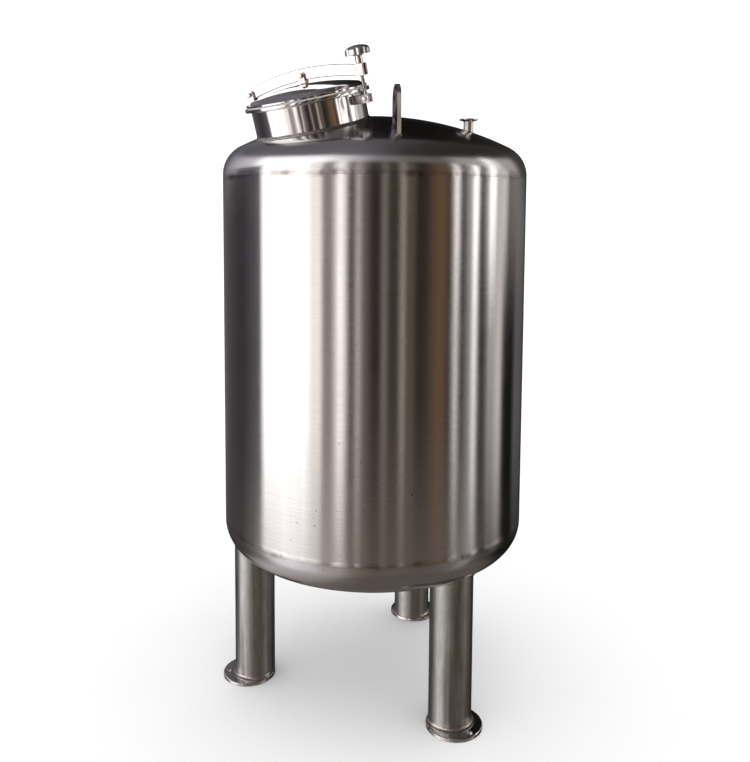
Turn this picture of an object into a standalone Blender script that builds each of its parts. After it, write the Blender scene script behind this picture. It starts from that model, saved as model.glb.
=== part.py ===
"""A vertical stainless storage tank on three pipe legs, with a clamped manhole on its top head.

Metres, +Z up. The origin is on the floor, on the tank's axis. A bearing is an angle in plan,
measured from -Y towards +X. The tank's shell and both dished heads are sheet, the legs are pipe,
and the manhole's cover is held by an arm, whose fork the swing bolt turns into from outside.
"""

from math import asin, atan2, cos, pi, radians, sin, sqrt

import bmesh
import bpy
from mathutils import Matrix, Vector

# Gap that is kept between two solids that touch
SEAT = 0.0003

# Shell and heads
TANK_RADIUS = 0.425
SHEET = 0.004
LOWER_TANGENT = 0.480
UPPER_TANGENT = 1.450
STRAIGHT_FLANGE = 0.008
CROWN_RADIUS = 2 * TANK_RADIUS
KNUCKLE_RADIUS = 0.2 * TANK_RADIUS
TANK_STEPS = 48

# Legs and their foot plates
LEG_BEARINGS = {"front": 45.0, "back": 165.0, "left": -75.0}
LEG_CIRCLE = 0.344
LEG_RADIUS = 0.057
LEG_WALL = 0.003
LEG_STEPS = 32
PLATE_RADIUS = 0.0745
PLATE_THICKNESS = 0.010
PLATE_OFFSET = 0.017
PLATE_WELD = 0.009
ANCHOR_RADIUS = 0.007
ANCHOR_OFFSET = 0.0605

# Manhole: a neck square to the crown, a flange round its top, a gasket and a dished lid
MANHOLE_BEARING = -38.2
MANHOLE_REACH = 0.230
RIM_HEIGHT = 0.0745
NECK_RADIUS = 0.150
NECK_WALL = 0.004
FLANGE_RADIUS = 0.165
FLANGE_THICKNESS = 0.0087
GASKET_THICKNESS = 0.0027
GASKET_RADIUS = 0.158
LID_RADIUS = 0.160
LID_RIM = 0.005
LID_SHEET = 0.004
LID_CROWN_REACH = 0.138
LID_CROWN_EDGE = 0.010
LID_FLAT_START = 0.151
LID_RISE = 0.027
MANHOLE_STEPS = 48

# Arm over the lid, its hinge on one side and the swing bolt on the other
ARM_BEARING = 68.1
ARM_REACH = 0.174
ARM_HEIGHT = 0.030
ARM_THICKNESS = 0.008
ARM_CREST_X = 0.020
ARM_CREST_Z = 0.051
HINGE_Z = 0.024
ARM_DROP = ARM_CREST_Z - HINGE_Z
ARM_CURVE = ((ARM_REACH + ARM_CREST_X) ** 2 + ARM_DROP**2) / (2 * ARM_DROP)
HINGE_PLATE = 0.006
HINGE_GAP = 0.0005
HINGE_BASE_TOP = 0.0
HINGE_HALF_WIDTH = 0.011
PIN_RADIUS = 0.004
PIN_CLEARANCE = 0.0003
PIN_HEAD_RADIUS = 0.0065
PIN_HEAD_LENGTH = 0.006
LID_LUG_HALF_WIDTH = 0.0095
LID_LUG_PLATE = 0.005
LID_PIN_Z = 0.0485
FORK_SIZE = 0.025
FORK_HEIGHT = 0.030
FORK_Z = 0.037
FORK_SLOT = 0.0112
ROD_RADIUS = 0.005
ROD_TOP_Z = 0.084
CLEVIS_Z = -0.035
CLEVIS_HEIGHT = 0.022
CLEVIS_WIDTH = 0.023
CLEVIS_END = 0.186
CLEVIS_SLOT = 0.0100
CLEVIS_SLOT_START = 0.161
EYE_RADIUS = 0.0105
EYE_THICKNESS = 0.009
KNOB_BOTTOM_Z = 0.073
KNOB_TOP_Z = 0.088
KNOB_DOME = 0.009
KNOB_RADIUS = 0.032
KNOB_LOBES = 8
KNOB_LOBE_DEPTH = 0.0035
HUB_RADIUS = 0.0095
HUB_GAP = 0.001

# Lifting lugs, a vent ferrule on the top head and an outlet ferrule under the bottom head
LUG_BEARINGS = {"front": 17.0, "back": 197.0}
LUG_REACH = 0.328
LUG_WIDTH = 0.066
LUG_THICKNESS = 0.010
LUG_EYE_Z = 1.6270
LUG_EYE_RADIUS = 0.016
VENT_BEARING = 68.4
VENT_REACH = 0.285
VENT_TOP = 1.597
VENT_TUBE_RADIUS = 0.0130
VENT_FLANGE_RADIUS = 0.0245
OUTLET_LENGTH = 0.036
OUTLET_TUBE_RADIUS = 0.0255
OUTLET_FLANGE_RADIUS = 0.032
FERRULE_WALL = 0.0016
FERRULE_LIP = 0.0029
FERRULE_TAPER = 0.0028

MILD_SHADES = {
    "brushed_stainless": ((0.52, 0.51, 0.51, 1.0), 1.0, 0.32),
    "polished_stainless": ((0.72, 0.71, 0.70, 1.0), 1.0, 0.08),
    "leg_stainless": ((0.50, 0.48, 0.46, 1.0), 1.0, 0.22),
    "gasket_rubber": ((0.80, 0.80, 0.78, 1.0), 0.0, 0.55),
}


def bearing_vector(degrees):
    return Vector((sin(radians(degrees)), -cos(radians(degrees)), 0.0))


def clear_scene():
    for obj in list(bpy.data.objects):
        bpy.data.objects.remove(obj, do_unlink=True)


def new_collection(name):
    collection = bpy.data.collections.new(name)
    bpy.context.scene.collection.children.link(collection)
    return collection


def make_material(name, colour, metallic, roughness):
    material = bpy.data.materials.new(name)
    material.use_nodes = True
    shader = material.node_tree.nodes["Principled BSDF"]
    shader.inputs["Base Color"].default_value = colour
    shader.inputs["Metallic"].default_value = metallic
    shader.inputs["Roughness"].default_value = roughness
    material.diffuse_color = colour
    return material


class Shop:
    """Collections, materials and the parent empties that every piece is placed by."""

    def __init__(self):
        clear_scene()
        self.parts = new_collection("storage_tank")
        self.cutters = new_collection("cutters")
        self.materials = {name: make_material(name, *look) for name, look in MILD_SHADES.items()}

    def add(self, name, data, collection):
        obj = bpy.data.objects.new(name, data)
        collection.objects.link(obj)
        return obj

    def empty(self, name, matrix, parent=None):
        obj = self.add(name, None, self.cutters)
        obj.parent = parent
        obj.matrix_local = matrix
        return obj

    def piece(self, name, data, material, parent=None, place=None):
        obj = self.add(name, data, self.parts)
        obj.data.materials.append(self.materials[material])
        obj.parent = parent
        obj.matrix_local = place or Matrix.Identity(4)
        return obj

    def cutter(self, name, data, parent=None, place=None):
        obj = self.add(name, data, self.cutters)
        obj.hide_render = True
        obj.display_type = "WIRE"
        obj.parent = parent
        obj.matrix_local = place or Matrix.Identity(4)
        return obj


def boolean(obj, cutter, operation="DIFFERENCE"):
    modifier = obj.modifiers.new(operation.lower(), "BOOLEAN")
    modifier.operation = operation
    modifier.solver = "EXACT"
    modifier.object = cutter
    return modifier


def profile_mesh(name, points, closed):
    """The half section (x, z) of a turned piece, as a line of edges in the XZ plane."""
    mesh = bpy.data.meshes.new(name)
    edges = [(i, i + 1) for i in range(len(points) - 1)]
    if closed:
        edges.append((len(points) - 1, 0))
    mesh.from_pydata([(x, 0.0, z) for x, z in points], edges, [])
    return mesh


def turn(obj, steps):
    """Turns an object's half section a full round about its own Z axis."""
    modifier = obj.modifiers.new("turn", "SCREW")
    modifier.axis = "Z"
    modifier.angle = 2 * pi
    modifier.steps = steps
    modifier.render_steps = steps
    modifier.use_merge_vertices = True
    modifier.merge_threshold = 0.00001
    modifier.use_smooth_shade = True
    return obj


def box_mesh(name, low, high, bevel=0.0):
    mesh = bpy.data.meshes.new(name)
    bm = bmesh.new()
    bmesh.ops.create_cube(bm, size=1.0)
    size = Vector(high) - Vector(low)
    middle = (Vector(high) + Vector(low)) / 2
    bmesh.ops.scale(bm, vec=size, verts=bm.verts)
    bmesh.ops.translate(bm, vec=middle, verts=bm.verts)
    if bevel:
        bmesh.ops.bevel(bm, geom=bm.edges, offset=bevel, segments=1, affect="EDGES")
    bm.to_mesh(mesh)
    bm.free()
    return mesh


def cylinder_mesh(name, radius, length, steps, place=None):
    """A cylinder about Z from z = 0 to its length, moved by a matrix where one is given."""
    mesh = bpy.data.meshes.new(name)
    bm = bmesh.new()
    bmesh.ops.create_cone(
        bm, cap_ends=True, segments=steps, radius1=radius, radius2=radius, depth=length
    )
    bmesh.ops.translate(bm, vec=(0, 0, length / 2), verts=bm.verts)
    if place:
        bmesh.ops.transform(bm, matrix=place, verts=bm.verts)
    bm.to_mesh(mesh)
    bm.free()
    return mesh


def outline_mesh(name, points, thickness):
    """A flat outline in the XZ plane, thickened evenly to both sides along Y, as a mesh."""
    curve = bpy.data.curves.new(name, "CURVE")
    curve.dimensions = "2D"
    curve.fill_mode = "BOTH"
    curve.extrude = thickness / 2
    spline = curve.splines.new("POLY")
    spline.points.add(len(points) - 1)
    for point, (x, z) in zip(spline.points, points):
        point.co = (x, z, 0.0, 1.0)
    spline.use_cyclic_u = True
    holder = bpy.data.objects.new(name, curve)
    bpy.context.scene.collection.objects.link(holder)
    graph = bpy.context.evaluated_depsgraph_get()
    mesh = bpy.data.meshes.new_from_object(holder.evaluated_get(graph))
    bpy.data.objects.remove(holder)
    bm = bmesh.new()
    bm.from_mesh(mesh)
    bmesh.ops.remove_doubles(bm, verts=bm.verts, dist=0.00001)
    bmesh.ops.rotate(bm, cent=(0, 0, 0), matrix=Matrix.Rotation(pi / 2, 3, "X"), verts=bm.verts)
    bmesh.ops.recalc_face_normals(bm, faces=bm.faces)
    bm.to_mesh(mesh)
    bm.free()
    return mesh


def arc(centre, radius, start, end, count):
    """Points on a circle in the XZ plane, from one angle in degrees to the other."""
    angles = [radians(start + (end - start) * i / (count - 1)) for i in range(count)]
    return [(centre[0] + radius * cos(a), centre[1] + radius * sin(a)) for a in angles]


def head_section(offset, knuckle_count, crown_count):
    """Half section of a dished head, from its crown out and down to its tangent at z = 0.

    offset moves the surface out of the steel, or into it where it is negative.
    """
    crown_drop = sqrt((CROWN_RADIUS - KNUCKLE_RADIUS) ** 2 - (TANK_RADIUS - KNUCKLE_RADIUS) ** 2)
    join = 90.0 - asin((TANK_RADIUS - KNUCKLE_RADIUS) / (CROWN_RADIUS - KNUCKLE_RADIUS)) * 180 / pi
    crown = arc((0.0, -crown_drop), CROWN_RADIUS + offset, 90.0, join, crown_count)
    crown[0] = (0.0, crown[0][1])
    centre = (TANK_RADIUS - KNUCKLE_RADIUS, 0.0)
    knuckle = arc(centre, KNUCKLE_RADIUS + offset, join, 0.0, knuckle_count)
    return crown + knuckle[1:]


def head_depth():
    return head_section(0.0, 4, 4)[0][1]


def crown_centre_z():
    return UPPER_TANGENT + head_depth() - CROWN_RADIUS


def head_points():
    """Closed half section of one head with its straight flange, as a bowl open downwards."""
    outer = head_section(0.0, 6, 6)
    inner = head_section(-SHEET, 4, 4)
    outer.append((TANK_RADIUS, -STRAIGHT_FLANGE))
    inner.append((TANK_RADIUS - SHEET, -STRAIGHT_FLANGE))
    return outer + inner[::-1]


def head_cutter_points():
    """Half section of all that lies within a head's outer surface and its touching gap."""
    outer = head_section(SEAT, 6, 6)
    outer.append((TANK_RADIUS + SEAT, -2 * STRAIGHT_FLANGE))
    outer.append((0.0, -2 * STRAIGHT_FLANGE))
    return outer


def upside_down(z):
    return Matrix.Translation((0, 0, z)) @ Matrix.Rotation(pi, 4, "X")


def make_vessel(shop):
    low = LOWER_TANGENT + STRAIGHT_FLANGE + SEAT
    high = UPPER_TANGENT - STRAIGHT_FLANGE - SEAT
    inside = TANK_RADIUS - SHEET
    wall = [(TANK_RADIUS, high), (TANK_RADIUS, low), (inside, low), (inside, high)]
    turn(shop.piece("shell", profile_mesh("shell", wall, True), "brushed_stainless"), TANK_STEPS)
    for name, place in (
        ("top_head", Matrix.Translation((0, 0, UPPER_TANGENT))),
        ("bottom_head", upside_down(LOWER_TANGENT)),
    ):
        mesh = profile_mesh(name, head_points(), False)
        head = shop.piece(name, mesh, "brushed_stainless", place=place)
        turn(head, TANK_STEPS)
        cutter_mesh = profile_mesh(name + "_envelope", head_cutter_points(), False)
        turn(shop.cutter(name + "_envelope", cutter_mesh, place=place), TANK_STEPS)


def make_leg(shop, name, bearing):
    place = Matrix.Translation(bearing_vector(bearing) * LEG_CIRCLE)
    low = PLATE_THICKNESS + SEAT
    inside = LEG_RADIUS - LEG_WALL
    wall = [(LEG_RADIUS, LOWER_TANGENT), (LEG_RADIUS, low), (inside, low), (inside, LOWER_TANGENT)]
    mesh = profile_mesh("leg_" + name, wall, True)
    leg = shop.piece("leg_" + name, mesh, "leg_stainless", place=place)
    turn(leg, LEG_STEPS)
    boolean(leg, bpy.data.objects["bottom_head_envelope"])


def make_foot_plate(shop, name, bearing):
    """A round plate set outwards of its leg, with a weld fillet round the leg and one hole.

    The leg stands at the plate's inner edge, so the fillet ends where the plate's top ends.
    """
    outwards = bearing_vector(bearing)
    centre = outwards * (LEG_CIRCLE + PLATE_OFFSET)
    edge = 0.002
    section = [
        (0.0, PLATE_THICKNESS),
        (PLATE_RADIUS - edge, PLATE_THICKNESS),
        (PLATE_RADIUS, PLATE_THICKNESS - edge),
        (PLATE_RADIUS, edge),
        (PLATE_RADIUS - edge, 0.0),
        (0.0, 0.0),
    ]
    mesh = profile_mesh("foot_plate_" + name, section, False)
    place = Matrix.Translation(centre)
    plate = shop.piece("foot_plate_" + name, mesh, "polished_stainless", place=place)
    turn(plate, LEG_STEPS)
    start = LEG_RADIUS + SEAT
    top = PLATE_THICKNESS + PLATE_WELD
    fillet = [(start, top)]
    fillet += arc((start + PLATE_WELD, top), PLATE_WELD * 0.94, 190.0, 260.0, 4)
    fillet += [(start + PLATE_WELD, PLATE_THICKNESS - edge), (start, PLATE_THICKNESS - edge)]
    weld_mesh = profile_mesh("foot_weld_" + name, fillet, True)
    weld_place = Matrix.Translation(outwards * LEG_CIRCLE)
    weld = turn(shop.cutter("foot_weld_" + name, weld_mesh, place=weld_place), LEG_STEPS)
    disc_mesh = cylinder_mesh("foot_disc_" + name, PLATE_RADIUS - edge, 0.1, LEG_STEPS)
    boolean(weld, shop.cutter("foot_disc_" + name, disc_mesh, place=place), "INTERSECT")
    boolean(plate, weld, "UNION")
    hole_mesh = cylinder_mesh("anchor_hole_" + name, ANCHOR_RADIUS, 4 * PLATE_THICKNESS, 16)
    hole_centre = centre + outwards * ANCHOR_OFFSET - Vector((0, 0, PLATE_THICKNESS))
    hole = shop.cutter("anchor_hole_" + name, hole_mesh, place=Matrix.Translation(hole_centre))
    boolean(plate, hole)


def manhole_matrix():
    """Frame of the manhole: its origin in the rim's plane on the neck's axis, X along the arm."""
    lean = asin(MANHOLE_REACH / CROWN_RADIUS)
    axis = bearing_vector(MANHOLE_BEARING) * sin(lean) + Vector((0, 0, cos(lean)))
    along = bearing_vector(ARM_BEARING)
    along.z = -(along.x * axis.x + along.y * axis.y) / axis.z
    along.normalize()
    across = axis.cross(along)
    centre = Vector((0, 0, crown_centre_z())) + axis * (CROWN_RADIUS + RIM_HEIGHT)
    matrix = Matrix((along, across, axis)).transposed().to_4x4()
    matrix.translation = centre
    return matrix


def make_manhole(shop, frame):
    inside = NECK_RADIUS - NECK_WALL
    flange_top = -LID_RIM - GASKET_THICKNESS - 2 * SEAT
    flange_low = flange_top - FLANGE_THICKNESS
    deep = -RIM_HEIGHT - 0.030

    wall = [(NECK_RADIUS, flange_top), (NECK_RADIUS, deep), (inside, deep), (inside, flange_top)]
    mesh = profile_mesh("manhole_neck", wall, True)
    neck = turn(shop.piece("manhole_neck", mesh, "polished_stainless", frame), MANHOLE_STEPS)
    boolean(neck, bpy.data.objects["top_head_envelope"])

    bore_mesh = cylinder_mesh("manhole_bore", inside, 0.120, MANHOLE_STEPS)
    bore_place = Matrix.Translation((0, 0, -RIM_HEIGHT - 0.060))
    bore = shop.cutter("manhole_bore", bore_mesh, frame, bore_place)
    boolean(bpy.data.objects["top_head"], bore)

    start = NECK_RADIUS + SEAT
    edge = 0.001
    ring = [
        (start, flange_top),
        (FLANGE_RADIUS - edge, flange_top),
        (FLANGE_RADIUS, flange_top - edge),
        (FLANGE_RADIUS, flange_low + edge),
        (FLANGE_RADIUS - edge, flange_low),
        (start, flange_low),
    ]
    mesh = profile_mesh("manhole_flange", ring, True)
    turn(shop.piece("manhole_flange", mesh, "polished_stainless", frame), MANHOLE_STEPS)

    top = -LID_RIM - SEAT
    low = top - GASKET_THICKNESS
    ring = [(GASKET_RADIUS, top), (GASKET_RADIUS, low), (inside, low), (inside, top)]
    mesh = profile_mesh("manhole_gasket", ring, True)
    turn(shop.piece("manhole_gasket", mesh, "gasket_rubber", frame), MANHOLE_STEPS)


def lid_crown(offset, count):
    """Points on the lid's shallow crown, from its middle to where it bends down to the rim."""
    reach, rise = LID_CROWN_REACH, LID_RISE - LID_CROWN_EDGE
    curve = (reach**2 + rise**2) / (2 * rise)
    edge = 90.0 - asin(reach / curve) * 180 / pi
    points = arc((0.0, LID_RISE - curve), curve + offset, 90.0, edge, count)
    points[0] = (0.0, points[0][1])
    return points


def make_cover(shop, hinge):
    """The lid with its lug, and the arm that carries it, all about the hinge's axis."""
    to_frame = Matrix.Translation((ARM_REACH, 0, -HINGE_Z))
    edge = 0.001
    bend = ((LID_CROWN_REACH + LID_FLAT_START) / 2 + 0.0015, LID_CROWN_EDGE / 2)
    top = lid_crown(0.0, 6) + [bend, (LID_FLAT_START, 0.0)]
    top += [(LID_RADIUS - edge, 0.0), (LID_RADIUS, -edge)]
    under = [(LID_RADIUS, -LID_RIM), (LID_FLAT_START - LID_SHEET, -LID_RIM)]
    under += [(bend[0] - 0.8 * LID_SHEET, bend[1] - 0.8 * LID_SHEET)]
    under += lid_crown(-LID_SHEET, 5)[::-1]
    mesh = profile_mesh("manhole_lid", top + under, False)
    lid = shop.piece("manhole_lid", mesh, "polished_stainless", hinge, to_frame)
    turn(lid, MANHOLE_STEPS)

    half_bar = ARM_THICKNESS / 2 + HINGE_GAP
    outer = half_bar + LID_LUG_PLATE
    foot = LID_RISE + SEAT
    half = LID_LUG_HALF_WIDTH
    side = [(-half, foot), (half, foot)] + arc((0.0, LID_PIN_Z), half, 0.0, 180.0, 9)
    lug_mesh = outline_mesh("lid_lug", side, 2 * outer)
    lug = shop.piece("lid_lug", lug_mesh, "polished_stainless", hinge, to_frame)
    slot_low = (-0.05, -half_bar, foot + 0.0035)
    slot_mesh = box_mesh("lid_lug_slot", slot_low, (0.05, half_bar, 0.1))
    boolean(lug, shop.cutter("lid_lug_slot", slot_mesh, hinge, to_frame))
    pin_place = Matrix.Translation((ARM_REACH, 0, LID_PIN_Z - HINGE_Z))
    make_pin(shop, "lid_lug_pin", hinge, pin_place, outer)
    boolean(lug, pin_hole(shop, "lid_lug_hole", hinge, pin_place, SEAT))

    make_arm(shop, hinge, to_frame, pin_place)
    make_fork(shop, hinge, to_frame)


def arm_angle(x):
    """Direction in degrees, from the arc's centre, of the arm's middle line at a given x."""
    depth = sqrt(ARM_CURVE**2 - (x - ARM_CREST_X) ** 2)
    return atan2(depth, x - ARM_CREST_X) * 180 / pi


def make_arm(shop, hinge, to_frame, lid_pin_place):
    """A flat bar on edge, bent over the lid, with a round end at the hinge."""
    centre = (ARM_CREST_X, ARM_CREST_Z - ARM_CURVE)
    start = arm_angle(-ARM_REACH)
    end_x = ARM_REACH - FORK_SIZE / 2 - SEAT
    end = arm_angle(end_x)
    half = ARM_HEIGHT / 2
    count = 13
    above = arc(centre, ARM_CURVE + half, start, end, count)
    below = arc(centre, ARM_CURVE - half, end, start, count)
    above[-1] = (end_x, above[-1][1])
    below[0] = (end_x, below[0][1])
    round_end = arc((-ARM_REACH, HINGE_Z), half, start + 180.0, start, 9)
    points = above + below + round_end[1:-1]
    bar = outline_mesh("lid_arm", points, ARM_THICKNESS)
    arm = shop.piece("lid_arm", bar, "polished_stainless", hinge, to_frame)
    boolean(arm, pin_hole(shop, "arm_hinge_hole", hinge, Matrix.Identity(4), PIN_CLEARANCE))
    boolean(arm, pin_hole(shop, "arm_lid_hole", hinge, lid_pin_place, PIN_CLEARANCE))


def make_fork(shop, hinge, to_frame):
    """The block on the arm's end, slotted from outside for the swing bolt's rod."""
    half = FORK_SIZE / 2
    low = (ARM_REACH - half, -half, FORK_Z - FORK_HEIGHT / 2)
    high = (ARM_REACH + half, half, FORK_Z + FORK_HEIGHT / 2)
    mesh = box_mesh("arm_fork", low, high, 0.0012)
    fork = shop.piece("arm_fork", mesh, "polished_stainless", hinge, to_frame)
    slot = FORK_SLOT / 2
    slot_mesh = box_mesh("fork_slot", (ARM_REACH, -slot, -0.1), (ARM_REACH + 0.05, slot, 0.2))
    boolean(fork, shop.cutter("fork_slot", slot_mesh, hinge, to_frame))
    round_mesh = cylinder_mesh("fork_slot_end", slot, 0.2, 16)
    round_place = to_frame @ Matrix.Translation((ARM_REACH, 0, -0.05))
    boolean(fork, shop.cutter("fork_slot_end", round_mesh, hinge, round_place))


def across_place(place, length):
    """Moves a cylinder that stands on Z so that it lies along Y with its middle at the place."""
    return place @ Matrix.Rotation(-pi / 2, 4, "X") @ Matrix.Translation((0, 0, -length / 2))


def pin_hole(shop, name, parent, place, clearance):
    length = 0.2
    mesh = cylinder_mesh(name, PIN_RADIUS + clearance, length, 16)
    return shop.cutter(name, mesh, parent, across_place(place, length))


def make_pin(shop, name, parent, place, half_grip):
    """A pin along Y with a round head past each of the two plates that hold it."""
    reach = half_grip + SEAT
    tip = reach + PIN_HEAD_LENGTH
    section = [
        (0.0, tip),
        (PIN_HEAD_RADIUS - 0.001, tip),
        (PIN_HEAD_RADIUS, tip - 0.001),
        (PIN_HEAD_RADIUS, reach),
        (PIN_RADIUS, reach),
    ]
    section += [(x, -z) for x, z in reversed(section)]
    turned = across_place(place, 0.0)
    pin = shop.piece(name, profile_mesh(name, section, False), "polished_stainless", parent, turned)
    turn(pin, 16)


def make_hinge_lug(shop, frame, hinge):
    """A block welded to the flange's edge, with two plates that hold the arm between them."""
    flange_low = -LID_RIM - GASKET_THICKNESS - 2 * SEAT - FLANGE_THICKNESS
    half_bar = ARM_THICKNESS / 2 + HINGE_GAP
    outer = half_bar + HINGE_PLATE
    half = HINGE_HALF_WIDTH
    inner_x = -FLANGE_RADIUS - SEAT
    side = [(-ARM_REACH - half, flange_low), (inner_x, flange_low)]
    side += [(inner_x, -0.001), (half - ARM_REACH, 0.002)]
    side += arc((-ARM_REACH, HINGE_Z), half, 0.0, 180.0, 9)
    mesh = outline_mesh("hinge_lug", side, 2 * outer)
    lug = shop.piece("hinge_lug", mesh, "polished_stainless", frame)
    low = (-0.25, -half_bar, HINGE_BASE_TOP)
    slot_mesh = box_mesh("hinge_lug_slot", low, (-0.1, half_bar, 0.1))
    boolean(lug, shop.cutter("hinge_lug_slot", slot_mesh, frame))
    boolean(lug, pin_hole(shop, "hinge_lug_hole", hinge, Matrix.Identity(4), SEAT))
    make_pin(shop, "hinge_pin", hinge, Matrix.Identity(4), outer)


def make_bolt_clevis(shop, frame, bolt_axis):
    """A block welded to the neck, slotted for the swing bolt's eye."""
    half = CLEVIS_HEIGHT / 2
    wide = CLEVIS_WIDTH / 2
    low = (NECK_RADIUS - 0.010, -wide, CLEVIS_Z - half)
    mesh = box_mesh("bolt_clevis", low, (CLEVIS_END, wide, CLEVIS_Z + half), 0.001)
    clevis = shop.piece("bolt_clevis", mesh, "polished_stainless", frame)
    neck_mesh = cylinder_mesh("neck_envelope", NECK_RADIUS + SEAT, 0.2, MANHOLE_STEPS)
    neck_place = Matrix.Translation((0, 0, CLEVIS_Z - 0.1))
    boolean(clevis, shop.cutter("neck_envelope", neck_mesh, frame, neck_place))
    slot = CLEVIS_SLOT / 2
    slot_mesh = box_mesh("clevis_slot", (CLEVIS_SLOT_START, -slot, -0.2), (0.3, slot, 0.2))
    boolean(clevis, shop.cutter("clevis_slot", slot_mesh, frame))
    boolean(clevis, pin_hole(shop, "clevis_hole", bolt_axis, Matrix.Identity(4), SEAT))
    make_pin(shop, "bolt_pin", bolt_axis, Matrix.Identity(4), wide)


def make_swing_bolt(shop, bolt_axis):
    """An eye bolt: its eye turns on the clevis pin, and its rod carries the knob."""
    eye_place = across_place(Matrix.Identity(4), EYE_THICKNESS)
    eye_mesh = cylinder_mesh("swing_bolt", EYE_RADIUS, EYE_THICKNESS, 32, eye_place)
    bolt = shop.piece("swing_bolt", eye_mesh, "polished_stainless", bolt_axis)
    rod_mesh = cylinder_mesh("bolt_rod", ROD_RADIUS, ROD_TOP_Z - CLEVIS_Z - 0.004, 24)
    rod = shop.cutter("bolt_rod", rod_mesh, bolt_axis, Matrix.Translation((0, 0, 0.004)))
    boolean(bolt, rod, "UNION")
    boolean(bolt, pin_hole(shop, "eye_hole", bolt_axis, Matrix.Identity(4), PIN_CLEARANCE))


def make_star_knob(shop, bolt_axis):
    """A hand knob: a star with a domed top on a round hub, threaded on the rod."""
    place = Matrix.Translation((0, 0, -CLEVIS_Z))
    hub_low = FORK_Z + FORK_HEIGHT / 2 + HUB_GAP
    neck = (HUB_RADIUS, hub_low + 0.001)
    section = [
        (0.0, KNOB_TOP_Z + KNOB_DOME),
        (0.011, KNOB_TOP_Z + 0.90 * KNOB_DOME),
        (0.021, KNOB_TOP_Z + 0.62 * KNOB_DOME),
        (0.028, KNOB_TOP_Z + 0.22 * KNOB_DOME),
        (KNOB_RADIUS - 0.001, KNOB_TOP_Z - 0.0005),
        (KNOB_RADIUS, KNOB_TOP_Z - 0.003),
        (KNOB_RADIUS, KNOB_BOTTOM_Z + 0.002),
        (KNOB_RADIUS - 0.003, KNOB_BOTTOM_Z),
        (HUB_RADIUS + 0.002, KNOB_BOTTOM_Z),
        neck,
        (HUB_RADIUS - 0.001, hub_low),
        (0.0, hub_low),
    ]
    mesh = profile_mesh("star_knob", section, False)
    knob = shop.piece("star_knob", mesh, "polished_stainless", bolt_axis, place)
    turn(knob, 32)
    bore_top = ROD_TOP_Z + SEAT
    bore_mesh = cylinder_mesh("knob_bore", ROD_RADIUS + SEAT, bore_top - hub_low + 0.01, 24)
    bore_place = place @ Matrix.Translation((0, 0, hub_low - 0.01))
    boolean(knob, shop.cutter("knob_bore", bore_mesh, bolt_axis, bore_place))
    for i in range(KNOB_LOBES):
        angle = 2 * pi * (i + 0.5) / KNOB_LOBES
        hollow = 0.0085
        reach = KNOB_RADIUS - KNOB_LOBE_DEPTH + hollow
        spot = Vector((reach * cos(angle), reach * sin(angle), KNOB_BOTTOM_Z - 0.01))
        name = "knob_hollow_%d" % i
        cut_mesh = cylinder_mesh(name, hollow, 0.05, 16)
        cut = shop.cutter(name, cut_mesh, bolt_axis, place @ Matrix.Translation(spot))
        boolean(knob, cut)


def make_lifting_lug(shop, name, bearing):
    """A plate on edge, in line with the tank's axis, with a round top and an eye."""
    half = LUG_WIDTH / 2
    outline = [(-half, UPPER_TANGENT), (half, UPPER_TANGENT)] + arc((0.0, LUG_EYE_Z), half, 0.0, 180.0, 13)
    middle = bearing_vector(bearing) * LUG_REACH
    place = Matrix.Translation(middle) @ Matrix.Rotation(radians(bearing - 90.0), 4, "Z")
    mesh = outline_mesh("lifting_lug_" + name, outline, LUG_THICKNESS)
    lug = shop.piece("lifting_lug_" + name, mesh, "polished_stainless", place=place)
    boolean(lug, bpy.data.objects["top_head_envelope"])
    length = 0.1
    eye_mesh = cylinder_mesh("lug_eye_" + name, LUG_EYE_RADIUS, length, 24)
    eye_place = place @ across_place(Matrix.Translation((0, 0, LUG_EYE_Z)), length)
    boolean(lug, shop.cutter("lug_eye_" + name, eye_mesh, place=eye_place))


def ferrule_section(tube_radius, flange_radius, length):
    """Half section of a clamp ferrule that stands on z = 0 and has its flat face on top."""
    bore = tube_radius - FERRULE_WALL
    return [
        (bore, length),
        (flange_radius, length),
        (flange_radius, length - FERRULE_LIP),
        (tube_radius + 0.001, length - FERRULE_LIP - FERRULE_TAPER),
        (tube_radius, length - FERRULE_LIP - 2 * FERRULE_TAPER),
        (tube_radius, 0.0),
        (bore, 0.0),
    ]


def make_ferrules(shop):
    root = 1.50
    section = ferrule_section(VENT_TUBE_RADIUS, VENT_FLANGE_RADIUS, VENT_TOP - root)
    place = Matrix.Translation(bearing_vector(VENT_BEARING) * VENT_REACH + Vector((0, 0, root)))
    mesh = profile_mesh("vent_ferrule", section, True)
    vent = turn(shop.piece("vent_ferrule", mesh, "polished_stainless", place=place), 32)
    boolean(vent, bpy.data.objects["top_head_envelope"])
    bore = VENT_TUBE_RADIUS - FERRULE_WALL
    hole_mesh = cylinder_mesh("vent_hole", bore, 0.14, 32)
    hole_place = place @ Matrix.Translation((0, 0, -0.03))
    boolean(bpy.data.objects["top_head"], shop.cutter("vent_hole", hole_mesh, place=hole_place))

    inward = 0.02
    bottom = LOWER_TANGENT - head_depth()
    length = OUTLET_LENGTH + inward
    section = ferrule_section(OUTLET_TUBE_RADIUS, OUTLET_FLANGE_RADIUS, length)
    place = upside_down(bottom + inward)
    mesh = profile_mesh("outlet_ferrule", section, True)
    outlet = turn(shop.piece("outlet_ferrule", mesh, "polished_stainless", place=place), 40)
    boolean(outlet, bpy.data.objects["bottom_head_envelope"])
    bore = OUTLET_TUBE_RADIUS - FERRULE_WALL
    hole_mesh = cylinder_mesh("outlet_hole", bore, 0.06, 40)
    hole_place = Matrix.Translation((0, 0, bottom - 0.02))
    head = bpy.data.objects["bottom_head"]
    boolean(head, shop.cutter("outlet_hole", hole_mesh, place=hole_place))


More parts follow.
